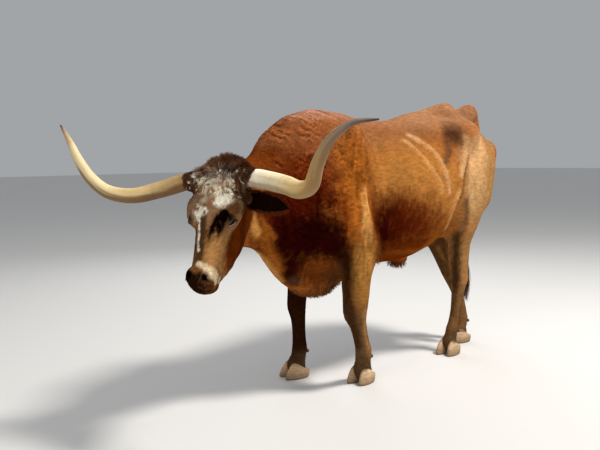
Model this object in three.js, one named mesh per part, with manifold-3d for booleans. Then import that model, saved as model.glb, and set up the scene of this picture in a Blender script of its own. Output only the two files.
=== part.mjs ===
// A thin adult Texas longhorn steer, standing with its head lowered and turned to its left.
// Millimetres, +Z up, the head towards -Y and the animal's left towards +X.
// The origin ends up on the floor, below the middle of the whole animal.

import * as THREE from 'three';
import Module from 'manifold-3d';
import { mergeVertices } from 'three/addons/utils/BufferGeometryUtils.js';

const wasm = await Module();
wasm.setup();

// Driving dimensions

const GAP = 0.3;
const CELL = {
  torso: [58, 74, 54],
  neck: [46, 46, 50],
  head: [27, 20, 22],
  foreleg: [29, 29, 50],
  hindleg: [32, 32, 50],
  tail: [20, 20, 62],
};

const HORN_BASE_RADIUS = 41;
const HORN_TIP_RADIUS = 3.5;
const HORN_STEPS = 30;
const HORN_COLLAR = 0.12;
const EYE_RADIUS = 20;
const EYE_COVER = 2;
const EAR_LENGTH = 194;
const EAR_HALF_WIDTH = 46;
const EAR_THICKNESS = 6;
const HOOF_LENGTH = 150;
const CLAW_WIDTH = 64;
const CORONET_HEIGHT = 62;
const CORONET_SLOPE = 0.3;

// Small vector helpers

const add = (p, q, scale = 1) => [p[0] + q[0] * scale, p[1] + q[1] * scale, p[2] + q[2] * scale];
const dot = (p, q) => p[0] * q[0] + p[1] * q[1] + p[2] * q[2];
const cross = (p, q) => [p[1] * q[2] - p[2] * q[1], p[2] * q[0] - p[0] * q[2], p[0] * q[1] - p[1] * q[0]];
const length = (p) => Math.hypot(p[0], p[1], p[2]);
const unit = (p) => p.map((value) => value / length(p));
const mix = (a, b, t) => a + (b - a) * t;
const mixPoint = (p, q, t) => p.map((value, i) => mix(value, q[i], t));
const clamp = (value, low, high) => Math.min(Math.max(value, low), high);
const radians = (degrees) => (degrees * Math.PI) / 180;

/** Seeded random numbers from 0 to 1. */
const randomFrom = (seed) => () => {
  seed = (seed + 0x6d2b79f5) | 0;
  let t = Math.imul(seed ^ (seed >>> 15), 1 | seed);
  t = (t + Math.imul(t ^ (t >>> 7), 61 | t)) ^ t;
  return ((t ^ (t >>> 14)) >>> 0) / 4294967296;
};

// Distance fields: each form is a function of x, y and z, negative inside

/** The smaller of two distances, with the join rounded over a width. */
const join = (a, b, width) => {
  const h = Math.max(width - Math.abs(a - b), 0) / width;
  return Math.min(a, b) - (h * h * width) / 4;
};

/** Distance to an ellipsoid with half sizes along its own three axes. */
const ellipsoidDistance = (u, v, w, sizes) => {
  const k0 = Math.hypot(u / sizes[0], v / sizes[1], w / sizes[2]);
  const k1 = Math.hypot(u / sizes[0] ** 2, v / sizes[1] ** 2, w / sizes[2] ** 2);
  return k1 < 1e-9 ? -Math.min(...sizes) : (k0 * (k0 - 1)) / k1;
};

/** An ellipsoid at a place, turned by angles in degrees about X, then Y, then Z. */
const blob = (place, sizes, turn = [0, 0, 0]) => {
  const euler = new THREE.Euler(...turn.map(radians), 'ZYX');
  const back = new THREE.Matrix4().makeRotationFromEuler(euler).invert().elements;
  return (x, y, z) => {
    const [px, py, pz] = [x - place[0], y - place[1], z - place[2]];
    return ellipsoidDistance(
      back[0] * px + back[4] * py + back[8] * pz,
      back[1] * px + back[5] * py + back[9] * pz,
      back[2] * px + back[6] * py + back[10] * pz,
      sizes,
    );
  };
};

/** Smooth curve values between listed ones, each a list of numbers. */
const smoothed = (rows, steps) => {
  const out = [];
  const at = (i) => rows[clamp(i, 0, rows.length - 1)];
  for (let i = 0; i < rows.length - 1; i += 1) {
    for (let k = 0; k < steps; k += 1) {
      const t = k / steps;
      out.push(at(i).map((p1, j) => {
        const [p0, p2, p3] = [at(i - 1)[j], at(i + 1)[j], at(i + 2)[j]];
        return 0.5 * (2 * p1 + (p2 - p0) * t + (2 * p0 - 5 * p1 + 4 * p2 - p3) * t * t
          + (3 * p1 - p0 - 3 * p2 + p3) * t * t * t);
      }));
    }
  }
  out.push(at(rows.length - 1));
  return out;
};

/** A bent, tapering limb: rows of x, y, z, half width and half depth, the width lying along one direction. */
const limb = (rows, across = [1, 0, 0], steps = 2) => {
  const stations = smoothed(rows, steps);
  const parts = stations.slice(1).map((end, i) => {
    const start = stations[i];
    const along = [end[0] - start[0], end[1] - start[1], end[2] - start[2]];
    const size = length(along);
    const axis = unit(along);
    const side = unit(add(across, axis, -dot(across, axis)));
    return { start, end, size, axis, side, front: cross(axis, side) };
  });
  return (x, y, z) => {
    let nearest = Infinity;
    for (const { start, end, size, axis, side, front } of parts) {
      const p = [x - start[0], y - start[1], z - start[2]];
      const t = clamp(dot(p, axis) / size, 0, 1);
      const q = add(p, axis, -t * size);
      const wide = mix(start[3], end[3], t);
      const deep = mix(start[4], end[4], t);
      const distance = ellipsoidDistance(dot(q, side), dot(q, front), dot(q, axis), [wide, deep, (wide + deep) / 2]);
      nearest = Math.min(nearest, distance);
    }
    return nearest;
  };
};

/** Several forms in one, each join rounded over its own width. */
const blend = (pieces) => (x, y, z) => {
  let total = Infinity;
  for (const [form, width] of pieces) {
    total = total === Infinity ? form(x, y, z) : join(total, form(x, y, z), width);
  }
  return total;
};

/** A form and its mirror image on the other side of the body. */
const bothSides = (make) => [make(1), make(-1)];

// Trunk: rib cage, loin, hump, shoulders, pelvis and the hollow flanks of a lean animal

const trunk = limb([
  [0, -250, 905, 130, 250],
  [0, -80, 940, 205, 340],
  [0, 120, 985, 248, 375],
  [0, 330, 1015, 282, 392],
  [0, 540, 1030, 300, 402],
  [0, 720, 1075, 288, 385],
  [0, 880, 1130, 240, 345],
  [0, 1040, 1195, 190, 300],
  [0, 1150, 1245, 148, 248],
  [0, 1226, 1285, 88, 190],
]);

const backbone = limb([
  [0, 120, 1395, 60, 52],
  [0, 330, 1396, 52, 40],
  [0, 500, 1402, 46, 38],
  [0, 640, 1445, 40, 38],
  [0, 820, 1482, 38, 38],
  [0, 960, 1520, 40, 38],
  [0, 1050, 1532, 34, 36],
  [0, 1120, 1500, 34, 36],
  [0, 1200, 1502, 34, 38],
  [0, 1290, 1520, 32, 38],
]);

const hump = limb([
  [20, -330, 1265, 70, 112],
  [8, -210, 1325, 92, 128],
  [0, -90, 1362, 104, 124],
  [0, 20, 1366, 98, 112],
  [0, 130, 1346, 82, 88],
  [0, 250, 1328, 64, 74],
]);

const shoulders = bothSides((side) => blend([
  [blob([side * 150, -20, 1130], [88, 150, 300], [-14, side * 6, 0]), 1],
  [blob([side * 185, -130, 905], [72, 105, 130], [0, 0, 0]), 120],
  [blob([side * 196, 40, 850], [76, 150, 150], [-20, 0, 0]), 110],
]));

const loin = bothSides((side) => limb([
  [side * 120, 620, 1370, 70, 46],
  [side * 130, 780, 1400, 70, 44],
  [side * 150, 900, 1405, 64, 42],
]));

const hooks = bothSides((side) => blob([side * 216, 945, 1358], [52, 86, 62], [14, side * 20, side * -14]));
const hookBars = bothSides((side) => limb([
  [side * 60, 1030, 1480, 44, 46],
  [side * 150, 990, 1425, 48, 44],
  [side * 215, 955, 1372, 44, 42],
]));
const pins = bothSides((side) => blob([side * 110, 1326, 1262], [44, 52, 56]));
const hams = bothSides((side) => limb([
  [side * 116, 1306, 1240, 48, 54],
  [side * 128, 1262, 1120, 60, 72],
  [side * 144, 1196, 980, 60, 84],
]));
const rumpBars = bothSides((side) => limb([
  [side * 205, 985, 1345, 42, 52],
  [side * 162, 1140, 1315, 46, 70],
  [side * 114, 1290, 1268, 40, 50],
]));
const tailHead = blob([0, 1270, 1496], [44, 62, 50]);

// The fold of skin that hangs from each hook bone down the flank to the stifle

const flankFolds = bothSides((side) => limb([
  [side * 226, 935, 1330, 26, 34],
  [side * 236, 905, 1150, 24, 32],
  [side * 226, 895, 960, 26, 34],
  [side * 200, 930, 800, 26, 40],
]));

// The belly ends in the small sheath of a steer, a little forward of the flanks

const sheath = blob([0, 590, 625], [38, 70, 30], [-8, 0, 0]);

// Neck: its deep core, the crest above it and the loose dewlap under it

const neckCore = limb([
  [0, -60, 1120, 150, 300],
  [6, -210, 1080, 142, 300],
  [28, -350, 1050, 122, 262],
  [68, -480, 1040, 104, 222],
  [112, -600, 1040, 94, 186],
  [150, -700, 1040, 86, 152],
]);

const crest = limb([
  [8, -230, 1300, 70, 110],
  [34, -390, 1200, 58, 104],
  [78, -530, 1132, 50, 90],
  [118, -640, 1108, 52, 82],
  [156, -728, 1112, 58, 74],
]);

const dewlap = limb([
  [128, -650, 866, 34, 40],
  [92, -560, 850, 32, 42],
  [52, -455, 802, 34, 56],
  [22, -360, 728, 42, 78],
  [6, -265, 652, 60, 84],
  [0, -150, 596, 82, 92],
  [0, -40, 590, 88, 92],
  [0, 80, 650, 90, 66],
], [1, 0, 0]);

// Legs: each row is a joint or the middle of a bone, the hoof's own place comes last

const FORELEG = {
  left: [
    [205, 70, 830, 80, 150],
    [208, 44, 730, 70, 124],
    [208, 20, 620, 68, 98],
    [208, 16, 520, 64, 84],
    [206, 12, 450, 63, 75],
    [204, 13, 410, 61, 67],
    [197, 40, 350, 46, 51],
    [180, 78, 270, 40, 46],
    [160, 116, 200, 43, 49],
    [148, 132, 160, 46, 50],
    [138, 136, 112, 43, 48],
    [130, 140, 72, 50, 58],
    [126, 148, 50, 48, 56],
  ],
  right: [
    [-205, 40, 830, 80, 150],
    [-206, 16, 720, 70, 126],
    [-198, -16, 610, 60, 92],
    [-192, -42, 510, 52, 68],
    [-188, -56, 440, 52, 60],
    [-187, -58, 400, 52, 57],
    [-188, -48, 340, 41, 47],
    [-190, -42, 265, 36, 43],
    [-192, -38, 195, 38, 45],
    [-193, -36, 155, 44, 48],
    [-194, -48, 110, 41, 46],
    [-195, -62, 72, 50, 57],
    [-195, -56, 50, 48, 55],
  ],
};

const HINDLEG = {
  left: [
    [140, 1150, 1170, 88, 152],
    [158, 1088, 1040, 86, 154],
    [166, 1028, 900, 78, 142],
    [164, 984, 785, 66, 120],
    [152, 988, 670, 54, 80],
    [134, 1010, 570, 48, 72],
    [122, 1026, 495, 45, 65],
    [118, 1030, 440, 45, 60],
    [116, 1020, 375, 36, 48],
    [112, 1002, 270, 29, 36],
    [108, 988, 190, 32, 39],
    [106, 978, 150, 38, 44],
    [104, 966, 108, 37, 43],
    [103, 954, 72, 47, 53],
    [103, 958, 50, 45, 51],
  ],
  right: [
    [-140, 1165, 1170, 88, 152],
    [-156, 1134, 1040, 86, 152],
    [-160, 1100, 900, 78, 140],
    [-150, 1080, 785, 66, 112],
    [-130, 1128, 665, 50, 76],
    [-130, 1180, 565, 42, 58],
    [-118, 1220, 488, 44, 58],
    [-106, 1250, 428, 45, 56],
    [-84, 1272, 345, 36, 45],
    [-58, 1285, 250, 32, 40],
    [-46, 1286, 178, 35, 43],
    [-40, 1280, 145, 41, 47],
    [-36, 1260, 108, 37, 43],
    [-34, 1248, 72, 47, 53],
    [-34, 1252, 50, 45, 51],
  ],
};

/** A hind leg with the cord of its hock drawn back to a point. */
const hindForm = (rows) => {
  const hock = rows[7];
  return blend([
    [limb(rows), 1],
    [blob([hock[0], hock[1] + 52, hock[2] + 8], [20, 26, 44], [-10, 0, 0]), 24],
    [limb([
      [rows[4][0], rows[4][1] + 76, rows[4][2], 18, 24],
      [hock[0], hock[1] + 58, hock[2] + 20, 15, 18],
    ]), 30],
  ]);
};

/** A foreleg with the point of its elbow behind it. */
const foreForm = (rows) => blend([
  [limb(rows), 1],
  [blob([rows[1][0], rows[1][1] + 92, rows[1][2] + 34], [34, 44, 52], [0, 0, 0]), 50],
]);

const legForms = {
  foreleg_left: foreForm(FORELEG.left),
  foreleg_right: foreForm(FORELEG.right),
  hindleg_left: hindForm(HINDLEG.left),
  hindleg_right: hindForm(HINDLEG.right),
};

// Tail: tucked down the cleft behind the hams, its end hair hanging between the hocks

const TAIL_ROWS = [
  [0, 1270, 1520, 30, 36],
  [0, 1328, 1496, 29, 34],
  [0, 1362, 1424, 26, 27],
  [0, 1386, 1320, 22, 23],
  [3, 1372, 1180, 18, 20],
  [8, 1328, 1020, 16, 17],
  [14, 1272, 860, 14, 15],
  [20, 1218, 720, 13, 14],
  [22, 1190, 620, 12, 13],
];
const tailForm = limb(TAIL_ROWS);

// Head: drawn in its own frame, a down the face from the poll, b to its left, c out of the forehead

const HEAD = { poll: [206, -840, 1200], facing: 25, tilt: 64, roll: -1.2 };

/** The three axes of the head in the animal's frame. */
const headAxes = (() => {
  const [facing, tilt, roll] = [HEAD.facing, HEAD.tilt, HEAD.roll].map(radians);
  const ahead = [Math.sin(facing), -Math.cos(facing), 0];
  const left = [Math.cos(facing), Math.sin(facing), 0];
  const down = add(ahead.map((value) => value * Math.cos(tilt)), [0, 0, 1], -Math.sin(tilt));
  const out = add(ahead.map((value) => value * Math.sin(tilt)), [0, 0, 1], Math.cos(tilt));
  const side = add(left.map((value) => value * Math.cos(roll)), out, Math.sin(roll));
  return [down, side, unit(cross(down, side))];
})();

const fromHead = ([a, b, c]) => add(add(add(HEAD.poll, headAxes[0], a), headAxes[1], b), headAxes[2], c);
const toHead = (p) => {
  const q = add(p, HEAD.poll, -1);
  return headAxes.map((axis) => dot(q, axis));
};
const headTurn = new THREE.Matrix4().makeBasis(...headAxes.map((axis) => new THREE.Vector3(...axis)));
headTurn.setPosition(...HEAD.poll);

const ACROSS_HEAD = [0, 1, 0];

const skull = limb([
  [8, 0, -80, 92, 66],
  [70, 0, -92, 104, 94],
  [150, 0, -94, 106, 102],
  [235, 0, -90, 94, 98],
  [310, 0, -78, 76, 82],
  [390, 2, -68, 64, 68],
  [455, 5, -62, 60, 60],
  [494, 7, -60, 61, 54],
  [510, 8, -62, 56, 48],
], ACROSS_HEAD);

const jaw = limb([
  [120, 0, -158, 66, 58],
  [210, 0, -184, 72, 72],
  [290, 0, -190, 72, 78],
  [365, 2, -174, 67, 78],
  [440, 5, -136, 56, 56],
  [500, 8, -104, 48, 38],
], ACROSS_HEAD);

/** Forms that stand on both sides of the head, each given for the left. */
const onBothCheeks = (place, sizes, width) => [1, -1].map((side) => (
  [blob([place[0], side * place[1], place[2]], sizes), width]));

const headForm = blend([
  [skull, 1],
  [jaw, 44],
  ...onBothCheeks([250, 60, -168], [98, 28, 74], 40),
  ...onBothCheeks([212, 88, -52], [52, 38, 40], 36),
  ...onBothCheeks([140, 92, -66], [66, 34, 44], 40),
  [blob([178, -106, -66], [56, 34, 44]), 36],
  ...onBothCheeks([96, 98, -118], [40, 32, 38], 30),
  [limb([[40, 40, -62, 50, 50], [30, 100, -46, 46, 46], [25, 148, -44, 43, 43]], [1, 0, 0]), 40],
  [limb([[46, -40, -62, 50, 50], [48, -100, -40, 46, 46], [57, -146, -27, 43, 43]], [1, 0, 0]), 40],
  [blob([505, 7, -40], [40, 62, 38]), 30],
  [blob([490, 49, -22], [32, 22, 20]), 16],
  [blob([490, -35, -22], [32, 22, 20]), 16],
  [blob([516, 8, -110], [28, 46, 28]), 24],
]);

/** The whole body of flesh in the animal's frame, the tail left apart. */
const body = blend([
  [trunk, 1],
  [backbone, 60],
  [hump, 110],
  [shoulders[0], 90],
  [shoulders[1], 90],
  [loin[0], 80],
  [loin[1], 80],
  [hookBars[0], 60],
  [hookBars[1], 60],
  [hooks[0], 90],
  [hooks[1], 90],
  [rumpBars[0], 80],
  [rumpBars[1], 80],
  [pins[0], 60],
  [pins[1], 60],
  [hams[0], 80],
  [hams[1], 80],
  [flankFolds[0], 70],
  [flankFolds[1], 70],
  [tailHead, 60],
  [sheath, 40],
  [neckCore, 130],
  [crest, 90],
  [dewlap, 90],
  [legForms.foreleg_left, 70],
  [legForms.foreleg_right, 70],
  [legForms.hindleg_left, 90],
  [legForms.hindleg_right, 90],
]);

const flesh = (x, y, z) => join(body(x, y, z), headForm(...toHead([x, y, z])), 60);
const fleshFromHead = (a, b, c) => flesh(...fromHead([a, b, c]));

// Closed surfaces of distance fields

/** Gradient of a field by central differences. */
const slope = (field, p) => [0, 1, 2].map((i) => {
  const step = [0, 0, 0];
  step[i] = 0.5;
  return field(...add(p, step)) - field(...add(p, step, -1));
});

/** Slides a point onto the zero surface of a field. */
const settle = (field, start, reach) => {
  let p = start;
  for (let round = 0; round < 3; round += 1) {
    const value = field(...p);
    const gradient = slope(field, p);
    p = add(p, gradient, -value / Math.max(dot(gradient, gradient), 0.05));
  }
  return length(add(p, start, -1)) < reach ? p : start;
};

/** One corner in each cell that the surface crosses, and one square across each crossed grid edge. */
const surfaceOf = (field, low, high, cell) => {
  const count = low.map((value, i) => Math.ceil((high[i] - value) / cell[i]) + 1);
  const index = (i, j, k) => (k * count[1] + j) * count[0] + i;
  const place = (i, j, k) => [low[0] + i * cell[0], low[1] + j * cell[1], low[2] + k * cell[2]];
  const values = new Float64Array(count[0] * count[1] * count[2]);
  const isRim = (i, j, k) => [i, j, k].some((n, axis) => n === 0 || n === count[axis] - 1);
  for (let k = 0; k < count[2]; k += 1) {
    for (let j = 0; j < count[1]; j += 1) {
      for (let i = 0; i < count[0]; i += 1) {
        const value = field(...place(i, j, k));
        values[index(i, j, k)] = isRim(i, j, k) ? Math.max(value, 1) : value;
      }
    }
  }
  const steps = [1, count[0], count[0] * count[1]];
  const inner = values.map((_, n) => n).filter((n) => steps.every((step, axis) => (
    Math.floor(n / step) % count[axis] < count[axis] - 1)));
  for (let changed = true; changed;) {
    changed = false;
    for (const n of inner) {
      for (const [u, v] of [[0, 1], [1, 2], [2, 0]]) {
        const square = [n, n + steps[u], n + steps[u] + steps[v], n + steps[v]];
        const within = square.map((m) => values[m] < 0);
        if (within[0] === within[2] && within[1] === within[3] && within[0] !== within[1]) {
          values[within[0] ? square[1] : square[0]] = -1;
          changed = true;
        }
      }
    }
  }
  const corners = [];
  const cornerOf = new Map();
  const edges = [];
  for (let a = 0; a < 8; a += 1) {
    for (const bit of [1, 2, 4]) {
      if (!(a & bit)) {
        edges.push([a, a | bit]);
      }
    }
  }
  const reach = Math.max(...cell) * 0.6;
  for (let k = 0; k < count[2] - 1; k += 1) {
    for (let j = 0; j < count[1] - 1; j += 1) {
      for (let i = 0; i < count[0] - 1; i += 1) {
        const at = (a) => [i + (a & 1), j + ((a >> 1) & 1), k + ((a >> 2) & 1)];
        let sum = [0, 0, 0];
        let crossings = 0;
        for (const [a, b] of edges) {
          const va = values[index(...at(a))];
          const vb = values[index(...at(b))];
          if ((va < 0) !== (vb < 0)) {
            sum = add(sum, mixPoint(place(...at(a)), place(...at(b)), va / (va - vb)));
            crossings += 1;
          }
        }
        if (crossings > 0) {
          cornerOf.set(index(i, j, k), corners.length);
          corners.push(settle(field, sum.map((value) => value / crossings), reach));
        }
      }
    }
  }
  const faces = [];
  const neighbours = [[1, 2], [2, 0], [0, 1]];
  for (let k = 0; k < count[2] - 1; k += 1) {
    for (let j = 0; j < count[1] - 1; j += 1) {
      for (let i = 0; i < count[0] - 1; i += 1) {
        for (let axis = 0; axis < 3; axis += 1) {
          const next = [i, j, k];
          next[axis] += 1;
          const [u, v] = neighbours[axis];
          const va = values[index(i, j, k)];
          const vb = values[index(...next)];
          if ((va < 0) === (vb < 0) || next[u] < 1 || next[v] < 1) {
            continue;
          }
          const ring = [[0, 0], [1, 0], [1, 1], [0, 1]].map(([du, dv]) => {
            const cellAt = [i, j, k];
            cellAt[u] -= du;
            cellAt[v] -= dv;
            return cornerOf.get(index(...cellAt));
          });
          if (va >= 0) {
            ring.reverse();
          }
          const [p, q, r, s] = ring;
          const short = length(add(corners[p], corners[r], -1)) <= length(add(corners[q], corners[s], -1));
          faces.push(...(short ? [p, q, r, p, r, s] : [q, r, s, q, s, p]));
        }
      }
    }
  }
  return geometryFrom(corners, faces);
};

// Geometry and solids

/** A buffer geometry from corner points and triangle corners. */
function geometryFrom(corners, faces) {
  const geometry = new THREE.BufferGeometry();
  geometry.setAttribute('position', new THREE.Float32BufferAttribute(corners.flat(), 3));
  geometry.setIndex(faces);
  return geometry;
}

/** A solid from a closed geometry, placed by a matrix where one is given. */
const solidFrom = (source, matrix = null) => {
  let geometry = source.clone();
  geometry.deleteAttribute('normal');
  geometry.deleteAttribute('uv');
  geometry = mergeVertices(geometry, 1e-3);
  if (matrix) {
    geometry.applyMatrix4(matrix);
  }
  return new wasm.Manifold(new wasm.Mesh({
    numProp: 3,
    vertProperties: geometry.attributes.position.array,
    triVerts: Uint32Array.from(geometry.index.array),
  }));
};

/** The largest closed surface of a solid. */
const largest = (solid) => solid.decompose().sort((p, q) => q.volume() - p.volume())[0];

/** Back from a solid to a buffer geometry. */
const geometryOf = (solid) => {
  const mesh = solid.getMesh();
  const geometry = new THREE.BufferGeometry();
  geometry.setAttribute('position', new THREE.Float32BufferAttribute(mesh.vertProperties, 3));
  geometry.setIndex(new THREE.Uint32BufferAttribute(mesh.triVerts, 1));
  return geometry;
};

/** The same solid with every corner moved out along its surface, for cutting neighbours clear of it. */
const grown = (solid, distance) => {
  const geometry = geometryOf(solid);
  geometry.computeVertexNormals();
  const { position, normal } = geometry.attributes;
  for (let i = 0; i < position.count; i += 1) {
    position.setXYZ(
      i,
      position.getX(i) + normal.getX(i) * distance,
      position.getY(i) + normal.getY(i) * distance,
      position.getZ(i) + normal.getZ(i) * distance,
    );
  }
  return solidFrom(geometry);
};

const box = (low, high) => {
  const size = low.map((value, i) => high[i] - value);
  const middle = low.map((value, i) => (high[i] + value) / 2);
  return solidFrom(new THREE.BoxGeometry(...size), new THREE.Matrix4().makeTranslation(...middle));
};

const FAR = 4000;

/** A half space as a very large block: everything on the side of a plane that its direction points to. */
const beyond = (point, direction, gap = 0) => {
  const towards = unit(direction);
  const middle = add(point, towards, FAR / 2 + gap);
  const turn = new THREE.Quaternion().setFromUnitVectors(new THREE.Vector3(0, 0, 1), new THREE.Vector3(...towards));
  const matrix = new THREE.Matrix4().compose(new THREE.Vector3(...middle), turn, new THREE.Vector3(1, 1, 1));
  return solidFrom(new THREE.BoxGeometry(FAR, FAR, FAR), matrix);
};
const opposite = (direction) => direction.map((value) => -value);

/** A closed skin over rings of points, each ring with the same number, the ends closed flat or to a point. */
const loft = (rings) => {
  const corners = rings.flat();
  const around = rings[0].length;
  const faces = [];
  for (let i = 0; i < rings.length - 1; i += 1) {
    for (let j = 0; j < around; j += 1) {
      const [p, q] = [i * around + j, i * around + ((j + 1) % around)];
      faces.push(p, q, q + around, p, q + around, p + around);
    }
  }
  const cap = (start, flip) => {
    for (let j = 1; j < around - 1; j += 1) {
      faces.push(...(flip ? [start, start + j + 1, start + j] : [start, start + j, start + j + 1]));
    }
  };
  cap(0, true);
  cap((rings.length - 1) * around, false);
  const solid = solidFrom(geometryFrom(corners, faces));
  return solid.volume() < 0 ? solidFrom(geometryFrom(corners, faces.reverse())) : solid;
};

/** A round tube of changing radius along a curve, its rings kept free of twist. */
const taperedTube = (path, radiusAt, steps, sides) => {
  const curve = new THREE.CatmullRomCurve3(path.map((p) => new THREE.Vector3(...p)), false, 'centripetal');
  const frames = curve.computeFrenetFrames(steps, false);
  const rings = [];
  for (let i = 0; i <= steps; i += 1) {
    const middle = curve.getPointAt(i / steps).toArray();
    const [across, up] = [frames.normals[i].toArray(), frames.binormals[i].toArray()];
    const radius = radiusAt(i / steps);
    rings.push(Array.from({ length: sides }, (_, j) => {
      const angle = (2 * Math.PI * j) / sides;
      return add(add(middle, across, radius * Math.cos(angle)), up, radius * Math.sin(angle));
    }));
  }
  return loft(rings);
};

/** A flat, tapering lock of hair that bends towards a fall direction, its breadth lying across. */
const lock = ({ root, direction, across, fall, size, width, thickness, pieces = 3 }) => {
  const rings = [];
  let point = root;
  let heading = unit(direction);
  for (let i = 0; i <= pieces; i += 1) {
    const t = i / pieces;
    const side = unit(add(across, heading, -dot(across, heading)));
    const face = cross(heading, side);
    const wide = (width / 2) * Math.max(Math.sqrt(1 - t * t) * (0.75 + 0.6 * t), 0.07);
    const thick = (thickness / 2) * Math.max(1 - 0.8 * t, 0.2);
    rings.push([
      add(point, side, wide),
      add(point, face, thick),
      add(point, side, -wide),
      add(point, face, -thick),
    ]);
    heading = unit(add(heading, fall, 1 / pieces));
    point = add(point, heading, size / pieces);
  }
  return loft(rings);
};

// Planes that part the body

const NECK_CUT = { point: [20, -330, 1050], direction: [0.16, -1, 0.12] };
const HEAD_CUT = { point: [138, -688, 1040], direction: [0.25, -0.97, 0.02] };
const FORELEG_TOP = 660;
const HINDLEG_TOP = 770;
const BRISKET_SIDE = 118;
const BRISKET_BOTTOM = 470;

/** The block that holds the top of a foreleg, beside the brisket. */
const forelegBlock = (side, spare = 0) => box(
  [side > 0 ? BRISKET_SIDE - spare : -420, -260, -10],
  [side > 0 ? 420 : -BRISKET_SIDE + spare, 330, FORELEG_TOP + spare],
);
/** The same block with all of its side of the animal below the brisket. */
const forelegSpace = (side) => forelegBlock(side).add(box(
  [side > 0 ? 0 : -420, -260, -10],
  [side > 0 ? 420 : 0, 330, BRISKET_BOTTOM],
));
const hindlegBlock = (side, spare = 0) => box(
  [side > 0 ? -spare : -420, 800 - spare, -10],
  [side > 0 ? 420 : spare, 1620, HINDLEG_TOP + spare],
);

// The nodes of flesh

const makeTorso = () => {
  const raw = solidFrom(surfaceOf(flesh, [-345, -480, 470], [345, 1470, 1640], CELL.torso));
  let solid = raw.intersect(beyond(NECK_CUT.point, opposite(NECK_CUT.direction)));
  for (const side of [1, -1]) {
    solid = solid.subtract(forelegBlock(side, GAP)).subtract(hindlegBlock(side, GAP));
  }
  return largest(solid);
};

const makeNeck = () => {
  const raw = solidFrom(surfaceOf(flesh, [-230, -900, 500], [400, -200, 1600], CELL.neck));
  return largest(raw
    .intersect(beyond(NECK_CUT.point, NECK_CUT.direction, GAP))
    .intersect(beyond(HEAD_CUT.point, opposite(HEAD_CUT.direction), GAP)));
};

/** The plane of a hoof's upper edge, sloping from the toe down to the heel. */
const coronet = (foot) => ({
  point: [foot[0], foot[1], CORONET_HEIGHT],
  direction: [0, CORONET_SLOPE, 1],
});

/** Two small horn buttons behind the fetlock. */
const dewclaws = (rows) => {
  const fetlock = rows[rows.length - 4];
  return [1, -1].map((side) => solidFrom(
    new THREE.SphereGeometry(15, 7, 5),
    new THREE.Matrix4()
      .makeTranslation(fetlock[0] + side * 21, fetlock[1] + 40, fetlock[2] - 10)
      .multiply(new THREE.Matrix4().makeScale(1, 0.9, 1.35)),
  ));
};

const makeLeg = (rows, block, cell, top) => {
  const xs = rows.map((row) => row[0]);
  const ys = rows.map((row) => row[1]);
  const low = [Math.min(...xs) - 110, Math.min(...ys) - 190, 0];
  const high = [Math.max(...xs) + 110, Math.max(...ys) + 260, top + 90];
  const foot = rows[rows.length - 1];
  const edge = coronet(foot);
  let solid = solidFrom(surfaceOf(flesh, low, high, cell)).intersect(block);
  solid = solid.intersect(beyond(edge.point, edge.direction));
  for (const claw of dewclaws(rows)) {
    solid = solid.add(claw);
  }
  return largest(solid);
};

// Hooves: two claws on one sole level, joined under the coronet

/** Rings of a claw from the sole up: height, share of the outline's size, and how far it lies forward. */
const CLAW_RINGS = [[0, 0.93, 20], [8, 1, 19], [30, 0.98, 13], [52, 0.93, 6], [72, 0.83, -2], [96, 0.66, -12]];

const makeClaw = (side) => {
  const rings = CLAW_RINGS.map(([height, size, ahead]) => (
    Array.from({ length: 12 }, (_, j) => {
      const angle = (2 * Math.PI * j) / 12;
      const toe = Math.max(Math.sin(angle), 0);
      const across = (CLAW_WIDTH / 2) * size * Math.cos(angle) * (1 - 0.22 * toe * toe);
      return [
        side * ((CLAW_WIDTH / 2) * (0.55 + 0.45 * size) + 3 + 3 * toe * size) + across,
        -(ahead + (HOOF_LENGTH / 2) * size * Math.sin(angle)),
        height,
      ];
    })
  ));
  return loft(rings);
};

const makeHoof = (rows, toeOut) => {
  const foot = rows[rows.length - 1];
  const edge = coronet(foot);
  const bridge = box([-20, -22, 26], [20, 40, 90]);
  const turn = new THREE.Matrix4().makeRotationZ(radians(toeOut));
  turn.setPosition(foot[0], foot[1], 0);
  const claws = makeClaw(1).add(makeClaw(-1)).add(bridge);
  return largest(claws.transform(turn.elements).intersect(beyond(edge.point, opposite(edge.direction), GAP)));
};

// Horns: each sweeps out and down, then forward and up, and turns back at its tip

const HORN = {
  left: { girth: 1.0, taper: 2.2, path: [[34, 70, -42], [31, 160, -45], [78, 334, -8], [118, 422, 36], [122, 493, 90],
    [65, 545, 179], [-4, 606, 241], [-64, 686, 256], [-112, 773, 195]] },
  right: { girth: 0.93, taper: 2.0, path: [[40, -70, -36], [56, -149, -26], [110, -280, -7], [162, -387, 44],
    [168, -474, 104], [131, -533, 161], [72, -577, 213], [-3, -628, 241], [-105, -729, 230]] },
};

const makeHorn = ({ girth, taper, path }) => {
  const radiusAt = (t) => {
    const collar = 1 - HORN_COLLAR * Math.max(1 - t / 0.14, 0);
    return girth * collar * HORN_BASE_RADIUS * (1 - t ** taper) + HORN_TIP_RADIUS * t;
  };
  return taperedTube(path.map(fromHead), radiusAt, HORN_STEPS, 10);
};

// Eyes

/** A point on the head's side where the eye looks out, and the direction it faces. */
const eyeSite = (side) => {
  const facing = unit([0.1, side * 0.76, 0.64]);
  let depth = 0;
  const from = [238, side * 60, -74];
  while (fleshFromHead(...add(from, facing, depth)) < 0) {
    depth += 0.5;
  }
  return { middle: add(from, facing, depth - EYE_RADIUS - EYE_COVER), facing };
};

/** A ball in the head's frame, stretched along its own three directions. */
const ballAt = (middle, radius, stretch, axes, detail = [12, 8]) => {
  const matrix = new THREE.Matrix4().makeBasis(...axes.map((axis, i) => (
    new THREE.Vector3(...axis).multiplyScalar(stretch[i]))));
  matrix.setPosition(...middle);
  return solidFrom(new THREE.SphereGeometry(radius, ...detail), headTurn.clone().multiply(matrix));
};

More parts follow.
